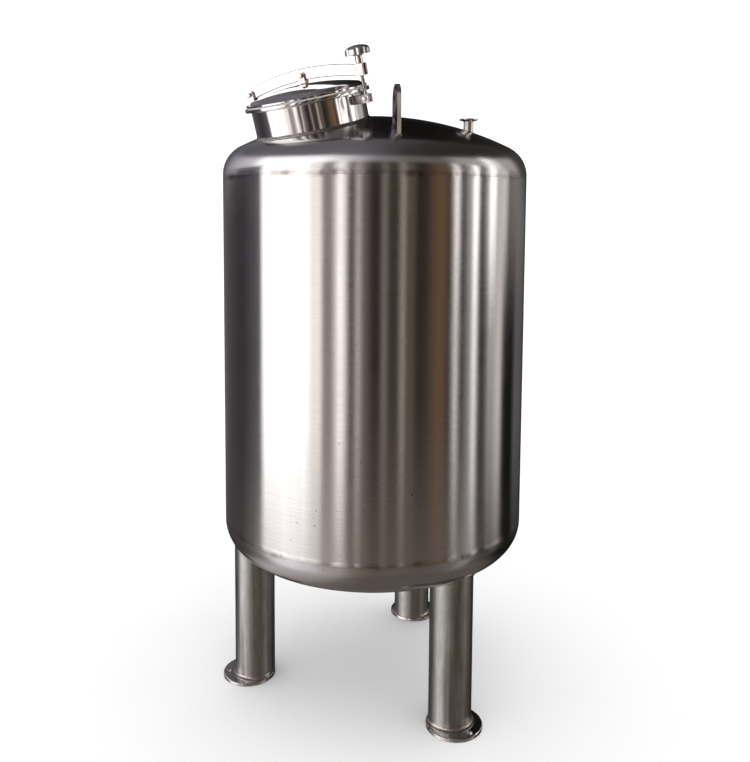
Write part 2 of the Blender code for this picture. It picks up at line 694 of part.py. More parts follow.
def main():
    shop = Shop()
    make_vessel(shop)
    for name, bearing in LEG_BEARINGS.items():
        make_leg(shop, name, bearing)
        make_foot_plate(shop, name, bearing)
    frame = shop.empty("manhole_frame", manhole_matrix())
    hinge = shop.empty("lid_hinge_axis", Matrix.Translation((-ARM_REACH, 0, HINGE_Z)), frame)
    bolt_axis = shop.empty("bolt_axis", Matrix.Translation((ARM_REACH, 0, CLEVIS_Z)), frame)
    make_manhole(shop, frame)
    make_cover(shop, hinge)
    make_hinge_lug(shop, frame, hinge)
    make_bolt_clevis(shop, frame, bolt_axis)
    make_swing_bolt(shop, bolt_axis)
    make_star_knob(shop, bolt_axis)
    for name, bearing in LUG_BEARINGS.items():
        make_lifting_lug(shop, name, bearing)
    make_ferrules(shop)


main()
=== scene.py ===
# %% [markdown]
# # An upright stainless steel storage tank on three pipe legs
# This file dresses a plain, measured model of the tank with the fine shapes and finishes that the eye
# sees. The plain model is loaded first and never changed. Each finished piece is modelled at the same
# place, rides on the same body, and stands for the plain piece that it hides.

import math

import bpy
from mathutils import Matrix, Vector


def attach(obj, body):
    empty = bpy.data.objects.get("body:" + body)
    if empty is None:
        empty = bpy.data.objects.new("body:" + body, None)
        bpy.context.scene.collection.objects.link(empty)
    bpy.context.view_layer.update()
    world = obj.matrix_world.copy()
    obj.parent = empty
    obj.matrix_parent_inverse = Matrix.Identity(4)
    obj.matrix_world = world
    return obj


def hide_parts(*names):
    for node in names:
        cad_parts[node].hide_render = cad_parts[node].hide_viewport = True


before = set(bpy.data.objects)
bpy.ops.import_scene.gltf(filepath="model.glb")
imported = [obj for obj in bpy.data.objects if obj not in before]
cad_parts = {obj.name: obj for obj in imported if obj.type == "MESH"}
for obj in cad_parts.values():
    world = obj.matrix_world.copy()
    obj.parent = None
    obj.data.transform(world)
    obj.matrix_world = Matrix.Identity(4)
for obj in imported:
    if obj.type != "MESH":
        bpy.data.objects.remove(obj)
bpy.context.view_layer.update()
mm = 0.001

# %% [markdown]
# ## Measures that several pieces share
# The tank is turned about the Z axis, so most of its pieces are known by a bearing round that axis, a
# reach out from it and a height. The manhole leans with the dome that it stands on, so it has a frame
# of its own: Z along its neck, X along the bar over its lid, and its origin in the plane of the rim.

# %% The tank's measures and the manhole's frame
TANK_RADIUS, SHEET = 425 * mm, 4 * mm
LOWER_TANGENT, UPPER_TANGENT, SKIRT = 480 * mm, 1450 * mm, 8 * mm
LOW_SEAM, HIGH_SEAM = LOWER_TANGENT + SKIRT, UPPER_TANGENT - SKIRT
CROWN_RADIUS, KNUCKLE_RADIUS = 850 * mm, 85 * mm
ROUND_STEPS = 144

MANHOLE_BEARING, MANHOLE_REACH, RIM_HEIGHT, ARM_BEARING = -38.2, 230 * mm, 74.5 * mm, 68.1
NECK_RADIUS, FLANGE_RADIUS, LID_RADIUS, ARM_REACH = 150 * mm, 165 * mm, 160 * mm, 174 * mm

CROWN_DROP = math.sqrt((CROWN_RADIUS - KNUCKLE_RADIUS) ** 2 - (TANK_RADIUS - KNUCKLE_RADIUS) ** 2)
CROWN_CENTRE = Vector((0, 0, UPPER_TANGENT - CROWN_DROP))


def towards(bearing):
    """The level direction at a bearing in degrees: 0 looks to -Y, and 90 to +X."""
    angle = math.radians(bearing)
    return Vector((math.sin(angle), -math.cos(angle), 0))


def manhole_frame():
    lean = math.asin(MANHOLE_REACH / CROWN_RADIUS)
    axis = towards(MANHOLE_BEARING) * math.sin(lean) + Vector((0, 0, math.cos(lean)))
    along = towards(ARM_BEARING)
    along.z = -along.dot(axis) / axis.z
    along.normalize()
    place = Matrix((along, axis.cross(along), axis)).transposed().to_4x4()
    place.translation = CROWN_CENTRE + axis * (CROWN_RADIUS + RIM_HEIGHT)
    return place


MANHOLE = manhole_frame()
print("the rim's middle is at", [round(x, 4) for x in MANHOLE.translation])

# %% [markdown]
# ## Colour and node helpers
# Every finish here is built from nodes. Colours are given as sRGB hex values, which one function
# turns to the linear values that the renderer adds and multiplies. One more function adds a node, joins
# its inputs and gives back an output, so that each material below reads as a list of what its surface has.


# %% One function for colours, one for nodes, and two that start and finish a material
def linear(code):
    """An sRGB hex colour as linear red, green, blue and alpha."""
    values = [int(code[i : i + 2], 16) / 255 for i in (1, 3, 5)]
    return [v / 12.92 if v <= 0.04045 else ((v + 0.055) / 1.055) ** 2.4 for v in values] + [1.0]


def add_node(tree, kind, inputs=None, give=0, **settings):
    """Adds a shader node and gives back one of its outputs. An input gets a value or a link."""
    node = tree.nodes.new("ShaderNode" + kind)
    for name, value in settings.items():
        setattr(node, name, value)
    for name, value in (inputs or {}).items():
        if isinstance(value, bpy.types.NodeSocket):
            tree.links.new(value, node.inputs[name])
        else:
            node.inputs[name].default_value = value
    return node.outputs[give] if node.outputs else node


def start_material(name, **constants):
    """A material, its nodes, and the place on the object that its patterns are read from."""
    material = bpy.data.materials.new(name)
    material.use_nodes = True
    tree = material.node_tree
    for socket, value in constants.items():
        tree.nodes["Principled BSDF"].inputs[socket.replace("_", " ")].default_value = value
    return material, tree, add_node(tree, "TexCoord", give="Object")


def surface(material, **joined):
    """Joins what was built to the shader, which finishes a material."""
    tree = material.node_tree
    for socket, value in joined.items():
        tree.links.new(value, tree.nodes["Principled BSDF"].inputs[socket.replace("_", " ")])
    return material


print("a mid grey of #808080 is", round(linear("#808080")[0], 3), "in linear light")

# %% [markdown]
# ## Ground stainless sheet, for the shell and the heads
# The shell is cold-rolled 304 stainless sheet, 4 mm thick, ground round and round with a fine belt.
# The eye sees upright stripes, sharp from side to side and smeared up and down, because the grind lines
# run level and scatter light across themselves. The shader's anisotropy gives that smear, and a noise
# stretched along the lines gives single scratches. Real lines are about 0.1 mm apart, which is far too
# fine to show in the picture, so they are drawn 1.5 mm apart.
#
# Two welds go round the tank, and much of the finish depends on how far a point is from them. Each
# distance could be painted by hand as a mask. Here it is worked out from the point's height, so the
# marks stay beside the seams whatever the tank's size.


# %% How near a point is to the two round seams
def beside_seams(tree, height, offset, reach, fade):
    """1 at an offset above and below each seam, fading to 0 over a reach on both sides of it."""
    shares = []
    for seam_height in (LOW_SEAM, HIGH_SEAM):
        away = height
        for distance in (seam_height, offset):
            away = add_node(tree, "Math", {0: away, 1: distance}, operation="SUBTRACT")
            away = add_node(tree, "Math", {0: away}, operation="ABSOLUTE")
        limits = {"Value": away, "From Min": 0.0, "From Max": reach, "To Min": 1.0, "To Max": 0.0}
        shares.append(add_node(tree, "MapRange", limits, interpolation_type=fade))
    return add_node(tree, "Math", {0: shares[0], 1: shares[1]}, operation="ADD")


print("seams at", LOW_SEAM, "and", HIGH_SEAM, "m")

# %% [markdown]
# The sheet is nowhere quite flat. A broad, weak wave bends the stripes as thin sheet does, a tighter one
# puckers the metal where the seam welds have pulled it, and the scratches lie on top of both. Each is a
# Bump node that leans on the one before it.

# %% Waves, pucker and scratches
PUCKER_REACH, PUCKER_DEPTH, SCRATCH_DEPTH = 14 * mm, 0.7 * mm, 0.1 * mm


def ground_normal(tree, place, at_seam, scratches, wave_depth):
    waves = add_node(tree, "TexNoise", {"Vector": place, "Scale": 3.2, "Detail": 1.0})
    pucker = add_node(tree, "TexNoise", {"Vector": place, "Scale": 26.0, "Detail": 1.0})
    pucker = add_node(tree, "Math", {0: pucker, 1: at_seam}, operation="MULTIPLY")
    under = {}
    for height, depth in (waves, wave_depth), (pucker, PUCKER_DEPTH), (scratches, SCRATCH_DEPTH):
        bump = {"Height": height, "Strength": 1.0, "Distance": depth, **under}
        under = {"Normal": add_node(tree, "Bump", bump)}
    return under["Normal"]


print("a scratch is", round(SCRATCH_DEPTH / mm, 2), "mm deep")

# %% [markdown]
# The heat of each weld has left two thin brown lines beside it, broken here and there, and smudges close
# to it. Small dark specks are scattered over the lower part of the shell, thinning out upwards. They
# come from a fine noise of which only the very highest peaks, about 3 mm wide, are let through.


# %% Heat marks and specks
def seam_heat(tree, place, height, at_seam):
    smudges = add_node(tree, "TexNoise", {"Vector": place, "Scale": 17.0, "Detail": 3.0})
    at_line = beside_seams(tree, height, 3.8 * mm, 1.3 * mm, "LINEAR")
    marks = []
    for spread, limits in (
        (at_seam, {"From Min": 0.55, "From Max": 0.75}),
        (at_line, {"From Min": 0.45, "From Max": 0.65, "To Min": 0.1, "To Max": 0.7}),
    ):
        strength = add_node(tree, "MapRange", {"Value": smudges, **limits})
        marks.append(add_node(tree, "Math", {0: strength, 1: spread}, operation="MULTIPLY"))
    return add_node(tree, "Math", {0: marks[0], 1: marks[1]}, operation="MAXIMUM")


SPECKS_FULL, SPECKS_END = 650 * mm, 1000 * mm


def dark_specks(tree, place, height):
    low_down = {"Value": height, "From Min": SPECKS_FULL, "From Max": SPECKS_END, "To Min": 1.0, "To Max": 0.0}
    low_down = add_node(tree, "MapRange", low_down)
    grains = add_node(tree, "TexNoise", {"Vector": place, "Scale": 150.0, "Detail": 0.0})
    peaks = add_node(tree, "MapRange", {"Value": grains, "From Min": 0.84, "From Max": 0.865})
    return add_node(tree, "Math", {0: peaks, 1: low_down}, operation="MULTIPLY")


print("specks fade out between", SPECKS_FULL, "and", SPECKS_END, "m above the floor")

# %% [markdown]
# All of it comes together on one metal shader. The heads are pressed and ground by hand, so they are a
# touch duller than the shell, and light smears less on them.


# %% The shell's and the heads' finish
def ground_sheet(name, colour, roughness, anisotropy, wave_depth):
    smear = {"Anisotropic": anisotropy, "Anisotropic_Rotation": 0.25}
    material, tree, place = start_material(name, Metallic=1.0, **smear)
    lines = add_node(tree, "Mapping", {"Vector": place, "Scale": (4, 4, 650)})
    lines = add_node(tree, "TexNoise", {"Vector": lines, "Scale": 1.0, "Detail": 3.0})
    height = add_node(tree, "SeparateXYZ", {"Vector": place}, "Z")
    at_seam = beside_seams(tree, height, 0.0, PUCKER_REACH, "SMOOTHSTEP")
    haze = add_node(tree, "TexNoise", {"Vector": place, "Scale": 9.0, "Detail": 4.0})
    gloss = {"Value": haze, "From Min": 0.3, "From Max": 0.7}
    gloss.update({"To Min": roughness * 0.85, "To Max": roughness * 1.2})
    gloss = add_node(tree, "MapRange", gloss)
    shade = linear(colour)
    for share, over in (
        (lines, [c * 0.86 for c in linear(colour)[:3]] + [1.0]),
        (seam_heat(tree, place, height, at_seam), linear("#6f655e")),
        (dark_specks(tree, place, height), linear("#4a423c")),
    ):
        shade = add_node(tree, "Mix", {"Factor": share, 6: shade, 7: over}, 2, data_type="RGBA")
    normal = ground_normal(tree, place, at_seam, lines, wave_depth)
    return surface(material, Base_Color=shade, Roughness=gloss, Normal=normal)


ground_shell = ground_sheet("stainless_sheet_ground", "#cfccca", 0.125, 0.95, 0.6 * mm)
ground_head = ground_sheet("stainless_head_ground", "#cbc8c8", 0.15, 0.60, 0.5 * mm)
print("finishes:", ground_shell.name, ground_head.name)

# %% [markdown]
# ## Mirror-polished stainless, for the manhole and its fittings
# The neck, flange, lid, lugs and ferrules were polished on a mop, so they mirror the room. Polished
# fittings are never quite even: a faint cloudiness and a slow swell in the surface keep the mirror alive.
# Turned pins and the threaded rod get the same steel, a touch rougher. The small blocks are castings,
# polished by hand: their faces stay uneven, greyer and a little warm. The flat bar is only satin, so what
# it mirrors melts into one pale tone.


# %% Polished, turned and welded steel
def polished_steel(name, colour, roughness, swell, swell_size):
    material, tree, place = start_material(name, Metallic=1.0)
    cloud = add_node(tree, "TexNoise", {"Vector": place, "Scale": 35.0, "Detail": 4.0})
    gloss = {"Value": cloud, "From Min": 0.3, "From Max": 0.7}
    gloss.update({"To Min": roughness * 0.7, "To Max": roughness * 1.4})
    gloss = add_node(tree, "MapRange", gloss)
    swells = add_node(tree, "TexNoise", {"Vector": place, "Scale": 1 / swell_size, "Detail": 1.0})
    bump = add_node(tree, "Bump", {"Height": swells, "Strength": 1.0, "Distance": swell})
    shade = {"Factor": cloud, 6: linear(colour), 7: [c * 0.9 for c in linear(colour)[:3]] + [1.0]}
    shade = add_node(tree, "Mix", shade, 2, data_type="RGBA")
    return surface(material, Base_Color=shade, Roughness=gloss, Normal=bump)


polished = polished_steel("stainless_polished", "#dedbda", 0.05, 0.4 * mm, 50 * mm)
turned = polished_steel("stainless_turned", "#d8d5d2", 0.16, 0.0, 20 * mm)
cast = polished_steel("stainless_cast_hand_polished", "#d0c6c4", 0.18, 0.6 * mm, 9 * mm)
satin = polished_steel("stainless_bar_satin", "#dedcdc", 0.22, 0.0, 50 * mm)
weld_metal = polished_steel("stainless_weld_bead", "#b4aba3", 0.26, 0.6 * mm, 5 * mm)
print("finishes:", *[metal.name for metal in (polished, turned, cast, satin, weld_metal)])

# %% [markdown]
# ## Pipe legs
# The legs are drawn pipe with only a light polish. Water has run down them and left brownish runs, so
# the pattern is a noise drawn out along Z: the runs are 10 to 20 mm wide and 300 mm or more long. Over
# them lie duller, dusty patches of 30 to 100 mm, which scatter what the bare steel still mirrors.


# %% The legs' finish
def drawn_pipe():
    material, tree, place = start_material("stainless_pipe_stained", Metallic=1.0)
    shade = linear("#b4b4b2")
    for stretch, noise, limits, colour in (
        ((55, 55, 2.6), {"Detail": 3.0, "Roughness": 0.6}, (0.45, 0.72, 0.75), "#655b53"),
        ((24, 24, 9), {"Detail": 5.0, "Roughness": 0.65}, (0.42, 0.68, 0.8), "#918f85"),
    ):
        marks = add_node(tree, "Mapping", {"Vector": place, "Scale": stretch})
        marks = add_node(tree, "TexNoise", {"Vector": marks, "Scale": 1.0, **noise})
        share = dict(zip(("From Min", "From Max", "To Max"), limits), Value=marks)
        shade = {"Factor": add_node(tree, "MapRange", share), 6: shade, 7: linear(colour)}
        shade = add_node(tree, "Mix", shade, 2, data_type="RGBA")
    gloss = add_node(tree, "MapRange", {"Value": marks, "To Min": 0.20, "To Max": 0.46})
    scuff = add_node(tree, "TexNoise", {"Vector": place, "Scale": 60.0, "Detail": 3.0})
    bump = add_node(tree, "Bump", {"Height": scuff, "Strength": 0.6, "Distance": 0.1 * mm})
    return surface(material, Base_Color=shade, Roughness=gloss, Normal=bump)


def silicone():
    """Moulded white silicone rubber, matt, with a fine moulded grain and a little grey from handling."""
    material, tree, place = start_material("silicone_moulded", Metallic=0.0, Roughness=0.5)
    grain = add_node(tree, "TexNoise", {"Vector": place, "Scale": 400.0, "Detail": 2.0})
    bump = add_node(tree, "Bump", {"Height": grain, "Strength": 0.3, "Distance": 0.1 * mm})
    grime = add_node(tree, "TexNoise", {"Vector": place, "Scale": 20.0, "Detail": 3.0})
    shade = {"Factor": grime, 6: linear("#f1efea"), 7: linear("#cfccc5")}
    shade = add_node(tree, "Mix", shade, 2, data_type="RGBA")
    return surface(material, Base_Color=shade, Normal=bump)


pipe_steel, seal_rubber = drawn_pipe(), silicone()
print("finishes:", pipe_steel.name, seal_rubber.name)

# %% [markdown]
# ## Turning, cutting and handing over
# Most of a tank is turned. One point is walked along half of the section, by extruding it from corner
# to corner, and the line is spun a full round. It could also be made with the Screw modifier, but the
# edit-mode way shows each step. Other helpers cut one piece with another and round its edges, and the
# last two give the finished piece its material and its place among the moving bodies.


# %% Helpers for turned pieces
def only(piece):
    bpy.ops.object.select_all(action="DESELECT")
    piece.select_set(True)
    bpy.context.view_layer.objects.active = piece


def profile(points, reach=0.0, height=0.0):
    """Points of a section, given in millimetres out from and up from a reach and a height."""
    return [(reach + out * mm, height + up * mm) for out, up in points]


def walk(name, stations):
    """Starts a piece as one point, walked along a line in the XZ plane, and stays in edit mode."""
    bpy.ops.mesh.primitive_plane_add(size=2 * mm)
    piece = bpy.context.object
    piece.name = piece.data.name = name
    bpy.ops.object.mode_set(mode="EDIT")
    bpy.ops.mesh.select_mode(type="VERT")
    bpy.ops.mesh.select_all(action="SELECT")
    bpy.ops.mesh.merge(type="CENTER")
    bpy.ops.transform.translate(value=(stations[0][0], 0, stations[0][1]))
    for (reach, height), (next_reach, next_height) in zip(stations, stations[1:]):
        step = (next_reach - reach, 0, next_height - height)
        bpy.ops.mesh.extrude_region_move(TRANSFORM_OT_translate={"value": step})
    bpy.ops.mesh.select_all(action="SELECT")
    return piece


def lathe(name, stations, steps=ROUND_STEPS, smooth_below=32):
    """Turns half a section a full round about Z. A section that stands off the axis is closed."""
    if stations[0][0] > 0:
        stations = stations + stations[:1]
    piece = walk(name, stations)
    bpy.ops.mesh.spin(steps=steps, angle=2 * math.pi, center=(0, 0, 0), axis=(0, 0, 1))
    bpy.ops.mesh.select_all(action="SELECT")
    bpy.ops.mesh.remove_doubles(threshold=0.01 * mm)
    bpy.ops.mesh.normals_make_consistent(inside=False)
    bpy.ops.object.mode_set(mode="OBJECT")
    smooth(piece, smooth_below)
    return piece


def smooth(piece, below=32):
    only(piece)
    bpy.ops.object.shade_smooth_by_angle(angle=math.radians(below))
    return piece


def settle(piece, place):
    """Moves a piece to its place and puts that place into its mesh."""
    piece.matrix_world = place
    only(piece)
    bpy.ops.object.transform_apply(location=True, rotation=True, scale=True)
    return piece


def modify(piece, kind, **settings):
    """Gives a piece a modifier with its settings, and applies it."""
    modifier = piece.modifiers.new(kind, kind)
    for name, value in settings.items():
        setattr(modifier, name, value)
    only(piece)
    bpy.ops.object.modifier_apply(modifier=modifier.name)


def cut(piece, tool, operation="DIFFERENCE", keep_tool=False):
    modify(piece, "BOOLEAN", operation=operation, solver="EXACT", object=tool)
    if not keep_tool:
        bpy.data.objects.remove(tool)


def round_edges(piece, width, segments=3, over=35, clamp=True):
    limit = {"limit_method": "ANGLE", "angle_limit": math.radians(over), "use_clamp_overlap": clamp}
    modify(piece, "BEVEL", width=width, segments=segments, harden_normals=False, **limit)
    smooth(piece, 40)
    modify(piece, "WEIGHTED_NORMAL", keep_sharp=True)


finished = []


def hand_over(piece, material, slot, *nodes, body="tank"):
    """Gives a piece its finish, the body it rides on, and the plain pieces that it stands for."""
    piece.data.materials.clear()
    piece.data.materials.append(material)
    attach(piece, body)
    if nodes:
        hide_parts(*nodes)
    piece.data.calc_loop_triangles()
    finished.append(piece)
    print(f"{piece.name}: {len(piece.data.loop_triangles)} triangles, for {nodes or 'no plain piece'}")


def at_manhole(piece, finish, *nodes, body="tank"):
    """Sets a piece made in the manhole's frame in its place, and hands it over."""
    hand_over(settle(piece, MANHOLE), finish, "polished_stainless", *nodes, body=body)


# %% [markdown]
# ## The shell
# The straight wall is one sheet, rolled and welded. It could be a cylinder with a Solidify modifier. A
# turned section gives the wall its two faces and its two ends at once, and puts them where the seams are.

# %% The straight shell
inside = TANK_RADIUS - SHEET
wall = [(TANK_RADIUS, HIGH_SEAM), (TANK_RADIUS, LOW_SEAM), (inside, LOW_SEAM), (inside, HIGH_SEAM)]
hand_over(lathe("shell_wall", wall), ground_shell, "brushed_stainless", "shell")

# %% [markdown]
# ## The dished heads
# Each head is pressed: a shallow crown, part of a sphere of the tank's width in radius, rolls over a
# tight knuckle into the wall. The two arcs meet with the same slope, so light runs over the join with no
# crease. The section is worked out from the radii, and the bottom head is the same section turned over.


# %% The two heads
def arc(centre, radius, start, end, count):
    """Points on a circle, as reach and height, from one angle in degrees to another."""
    angles = [math.radians(start + (end - start) * i / (count - 1)) for i in range(count)]
    return [(centre[0] + radius * math.cos(a), centre[1] + radius * math.sin(a)) for a in angles]


KNUCKLE_REACH = TANK_RADIUS - KNUCKLE_RADIUS
JOIN = math.degrees(math.acos(KNUCKLE_REACH / (CROWN_RADIUS - KNUCKLE_RADIUS)))


def head_line(offset, crown_count=28, knuckle_count=20):
    """Half of a head's surface from its pole out to its tangent at height 0, moved out by an offset."""
    crown = arc((0, -CROWN_DROP), CROWN_RADIUS + offset, 90, JOIN, crown_count)
    crown[0] = (0.0, crown[0][1])
    knuckle = arc((KNUCKLE_REACH, 0), KNUCKLE_RADIUS + offset, JOIN, 0, knuckle_count)
    return crown + knuckle[1:]


def head(name):
    outer = head_line(0) + [(TANK_RADIUS, -SKIRT)]
    inner = head_line(-SHEET, 14, 8) + [(TANK_RADIUS - SHEET, -SKIRT)]
    return lathe(name, outer + inner[::-1])


def head_filler(name):
    """A solid that fills a head out to its surface, to trim what is welded onto it."""
    low = -60 * mm
    return lathe(name, head_line(0) + [(TANK_RADIUS, low), (0, low)])


TOP = Matrix.Translation((0, 0, UPPER_TANGENT))
BOTTOM = Matrix.Translation((0, 0, LOWER_TANGENT)) @ Matrix.Rotation(math.pi, 4, "X")
HEAD_DEPTH = CROWN_RADIUS - CROWN_DROP
top_head = settle(head("top_dish"), TOP)
bottom_head = settle(head("bottom_dish"), BOTTOM)
top_filler = settle(head_filler("top_filler"), TOP)
bottom_filler = settle(head_filler("bottom_filler"), BOTTOM)
print("the heads are", round(HEAD_DEPTH / mm, 1), "mm deep")
print("the top head's pole is at", round(UPPER_TANGENT + HEAD_DEPTH, 4), "m")

# %% [markdown]
# The top head has two holes, under the manhole and under the vent, and the bottom head has one for the
# outlet. They are cut with plain round bars before anything stands over them.

# %% Holes in the heads
VENT_BEARING, VENT_REACH, VENT_TUBE, VENT_TOP = 68.4, 285 * mm, 13 * mm, 1597 * mm
OUTLET_TUBE, OUTLET_LENGTH = 25.5 * mm, 36 * mm
FERRULE_WALL = 1.6 * mm


def round_bar(name, radius, low, high, steps=96):
    return lathe(name, [(0, high), (radius, high), (radius, low), (0, low)], steps)


vent_place = Matrix.Translation(towards(VENT_BEARING) * VENT_REACH)
bore = round_bar("bore", NECK_RADIUS - SHEET, -130 * mm, -20 * mm, 128)
cut(top_head, settle(bore, MANHOLE))
bore = round_bar("bore", VENT_TUBE - FERRULE_WALL, 1450 * mm, 1650 * mm, 48)
cut(top_head, settle(bore, vent_place))
cut(bottom_head, round_bar("bore", OUTLET_TUBE - FERRULE_WALL, 250 * mm, 400 * mm, 64))
hand_over(smooth(top_head), ground_head, "brushed_stainless", "top_head")
hand_over(smooth(bottom_head), ground_head, "brushed_stainless", "bottom_head")

# %% [markdown]
# ## The two round seams
# Where the heads meet the shell, a weld was laid and ground nearly flush. What is left is a flat band
# about 7 mm wide that stands less than a tenth of a millimetre proud, duller than the sheet.

# %% The seam welds
seam_metal = ground_sheet("stainless_seam_ground_flush", "#c2bebb", 0.16, 0.93, 0.6 * mm)


def seam(name, height):
    band = [(-1, 3.6), (0, 3.6), (0.05, 2.16), (0.08, 0), (0.05, -2.16), (0, -3.6), (-1, -3.6)]
    hand_over(lathe(name, profile(band, TANK_RADIUS, height)), seam_metal, "brushed_stainless")


seam("top_seam_weld", HIGH_SEAM)
seam("bottom_seam_weld", LOW_SEAM)

# %% [markdown]
# ## Weld beads
# Everything that stands on a head is joined to it by a bead of weld. A loop is drawn round the foot of
# the piece, dropped onto the head with a Shrinkwrap modifier, turned into a curve, and given a round
# thickness. Half of the bead sinks into the steel, as the real one does.


# %% A bead on a curved head
def bead(name, loop, target, direction, radius):
    """Drops a loop along Z onto the target, and gives it a round thickness."""
    ways = {"use_positive_direction": direction > 0, "use_negative_direction": direction < 0}
    modify(loop, "SHRINKWRAP", target=target, wrap_method="PROJECT", use_project_z=True, **ways)
    bpy.ops.object.convert(target="CURVE")
    loop.data.bevel_depth, loop.data.bevel_resolution = radius, 3
    bpy.ops.object.convert(target="MESH")
    loop.name = loop.data.name = name
    hand_over(smooth(loop, 60), weld_metal, "leg_stainless")


def ring_loop(radius, place, count=128):
    bpy.ops.mesh.primitive_circle_add(vertices=count, radius=radius, fill_type="NOTHING")
    return settle(bpy.context.object, place)


OVER_TANK = Matrix.Translation((0, 0, 1750 * mm))
UNDER_TANK = Matrix.Translation((0, 0, 100 * mm))

# %% [markdown]
# ## The legs
# Three pipes of 114 mm stand at uneven bearings under the bottom head. Each is turned as a tube, then
# cut with the filled head so that its top follows the head's curve, with a weld bead along the cut.

# %% Pipe legs with their beads
LEG_BEARINGS = {"front": 45, "back": 165, "left": -75}
LEG_CIRCLE, LEG_RADIUS, LEG_WALL, LEG_BLANK = 344 * mm, 57 * mm, 3 * mm, 460 * mm
PLATE_THICKNESS, SEAT = 10 * mm, 0.3 * mm

for side, bearing in LEG_BEARINGS.items():
    place = Matrix.Translation(towards(bearing) * LEG_CIRCLE)
    bore, low = LEG_RADIUS - LEG_WALL, PLATE_THICKNESS + SEAT
    tube = [(LEG_RADIUS, LEG_BLANK), (LEG_RADIUS, low), (bore, low), (bore, LEG_BLANK)]
    leg = settle(lathe("pipe_leg_" + side, tube, 96), place)
    cut(leg, bottom_filler, keep_tool=True)
    hand_over(smooth(leg), pipe_steel, "leg_stainless", "leg_" + side)
    loop = ring_loop(LEG_RADIUS + 0.8 * mm, place @ UNDER_TANK)
    bead("leg_weld_" + side, loop, bottom_filler, 1, 2.6 * mm)

# %% [markdown]
# ## Foot plates
# Round plates of 10 mm, polished, set outwards of their pipes so that there is room for one anchor hole.
# The edge is turned off with a small chamfer. A hollow fillet weld runs round the foot of the pipe, and
# stops where the pipe stands at the plate's edge.

# %% Foot plates and their welds
PLATE_RADIUS, PLATE_OFFSET, ANCHOR_OFFSET, ANCHOR_RADIUS = 74.5 * mm, 17 * mm, 60.5 * mm, 7 * mm


def foot_plate(side, bearing):
    outwards = towards(bearing)
    line = [(0, PLATE_THICKNESS)]
    line += profile([(-3.2, 0), (-1.6, -0.2), (-0.2, -1.6), (0, -3.2)], PLATE_RADIUS, PLATE_THICKNESS)
    line += profile([(0, 0.8), (-0.8, 0)], PLATE_RADIUS) + [(0, 0)]
    middle = outwards * (LEG_CIRCLE + PLATE_OFFSET)
    plate = settle(lathe("round_foot_" + side, line, 96), Matrix.Translation(middle))
    spot = Matrix.Translation(middle + outwards * ANCHOR_OFFSET)
    hole = profile([(10.8, 10), (0.8, 0), (0, -0.8), (0, -20)], ANCHOR_RADIUS, PLATE_THICKNESS)
    hole = [(0, 2 * PLATE_THICKNESS)] + hole + [(0, -PLATE_THICKNESS)]
    cut(plate, settle(lathe("hole", hole, 48), spot))
    hand_over(smooth(plate), polished, "polished_stainless", "foot_plate_" + side)
    fillet = profile([(-0.5, 9), (0.6, 8.6)], LEG_RADIUS, PLATE_THICKNESS)
    fillet += arc((LEG_RADIUS + 9.5 * mm, PLATE_THICKNESS + 9.5 * mm), 8.6 * mm, 188, 262, 8)
    fillet += profile([(9, -0.5), (-0.5, -0.5)], LEG_RADIUS, PLATE_THICKNESS)
    weld = lathe("foot_weld_" + side, fillet, 96, 50)
    settle(weld, Matrix.Translation(outwards * LEG_CIRCLE))
    disc = round_bar("disc", PLATE_RADIUS - 3.2 * mm, -50 * mm, 50 * mm, 192)
    cut(weld, settle(disc, Matrix.Translation(middle)), "INTERSECT")
    hand_over(smooth(weld, 50), weld_metal, "leg_stainless")


for side, bearing in LEG_BEARINGS.items():
    foot_plate(side, bearing)

# %% [markdown]
# ## The manhole neck and flange
# A short tube stands square to the dome, trimmed to it and welded, with a flat ring round its top. The
# neck meets the dome's sphere in an exact circle, so its fillet weld can be turned as well.

# %% Neck, its weld, the flange and the seal
FLANGE_TOP, FLANGE_LOW, RIM_LOW, NECK_BLANK = -8.3 * mm, -17.0 * mm, -5.0 * mm, -100 * mm


def on_dome(reach, raise_by=0.0):
    """Height in the manhole's frame of the dome's surface at a reach from the neck's axis."""
    return math.sqrt((CROWN_RADIUS + raise_by) ** 2 - reach**2) - CROWN_RADIUS - RIM_HEIGHT


bore = NECK_RADIUS - SHEET
tube = [(NECK_RADIUS, FLANGE_TOP), (NECK_RADIUS, NECK_BLANK), (bore, NECK_BLANK), (bore, FLANGE_TOP)]
neck = settle(lathe("neck_tube", tube), MANHOLE)
cut(neck, top_filler, keep_tool=True)
hand_over(smooth(neck), polished, "polished_stainless", "manhole_neck")

foot = on_dome(NECK_RADIUS)
fillet = profile([(-0.4, 5.4), (0.5, 5.0), (1.4, 3.0), (3.2, 1.2)], NECK_RADIUS, foot)
fillet += [(NECK_RADIUS + 5.2 * mm, on_dome(NECK_RADIUS + 5.2 * mm, 0.3 * mm))]
fillet += profile([(5.6, -2), (-0.4, -2)], NECK_RADIUS, foot)
at_manhole(lathe("neck_weld", fillet, smooth_below=50), weld_metal)

ring = [(NECK_RADIUS + 0.1 * mm, FLANGE_TOP)]
ring += profile([(-0.9, 0), (-0.27, -0.27), (0, -0.9)], FLANGE_RADIUS, FLANGE_TOP)
ring += profile([(0, 0.9), (-0.27, 0.27), (-0.9, 0)], FLANGE_RADIUS, FLANGE_LOW)
ring += profile([(2.5, 0), (0.1, -2.2)], NECK_RADIUS, FLANGE_LOW)
at_manhole(lathe("flange_ring", ring), polished, "manhole_flange")

out, low, high = 158 * mm, FLANGE_TOP + 0.1 * mm, RIM_LOW - 0.1 * mm
ring = [(bore, high), (out, high), (out + 0.8 * mm, (low + high) / 2), (out, low), (bore, low)]
seal = settle(lathe("seal_ring", ring), MANHOLE)
hand_over(seal, seal_rubber, "gasket_rubber", "manhole_gasket")

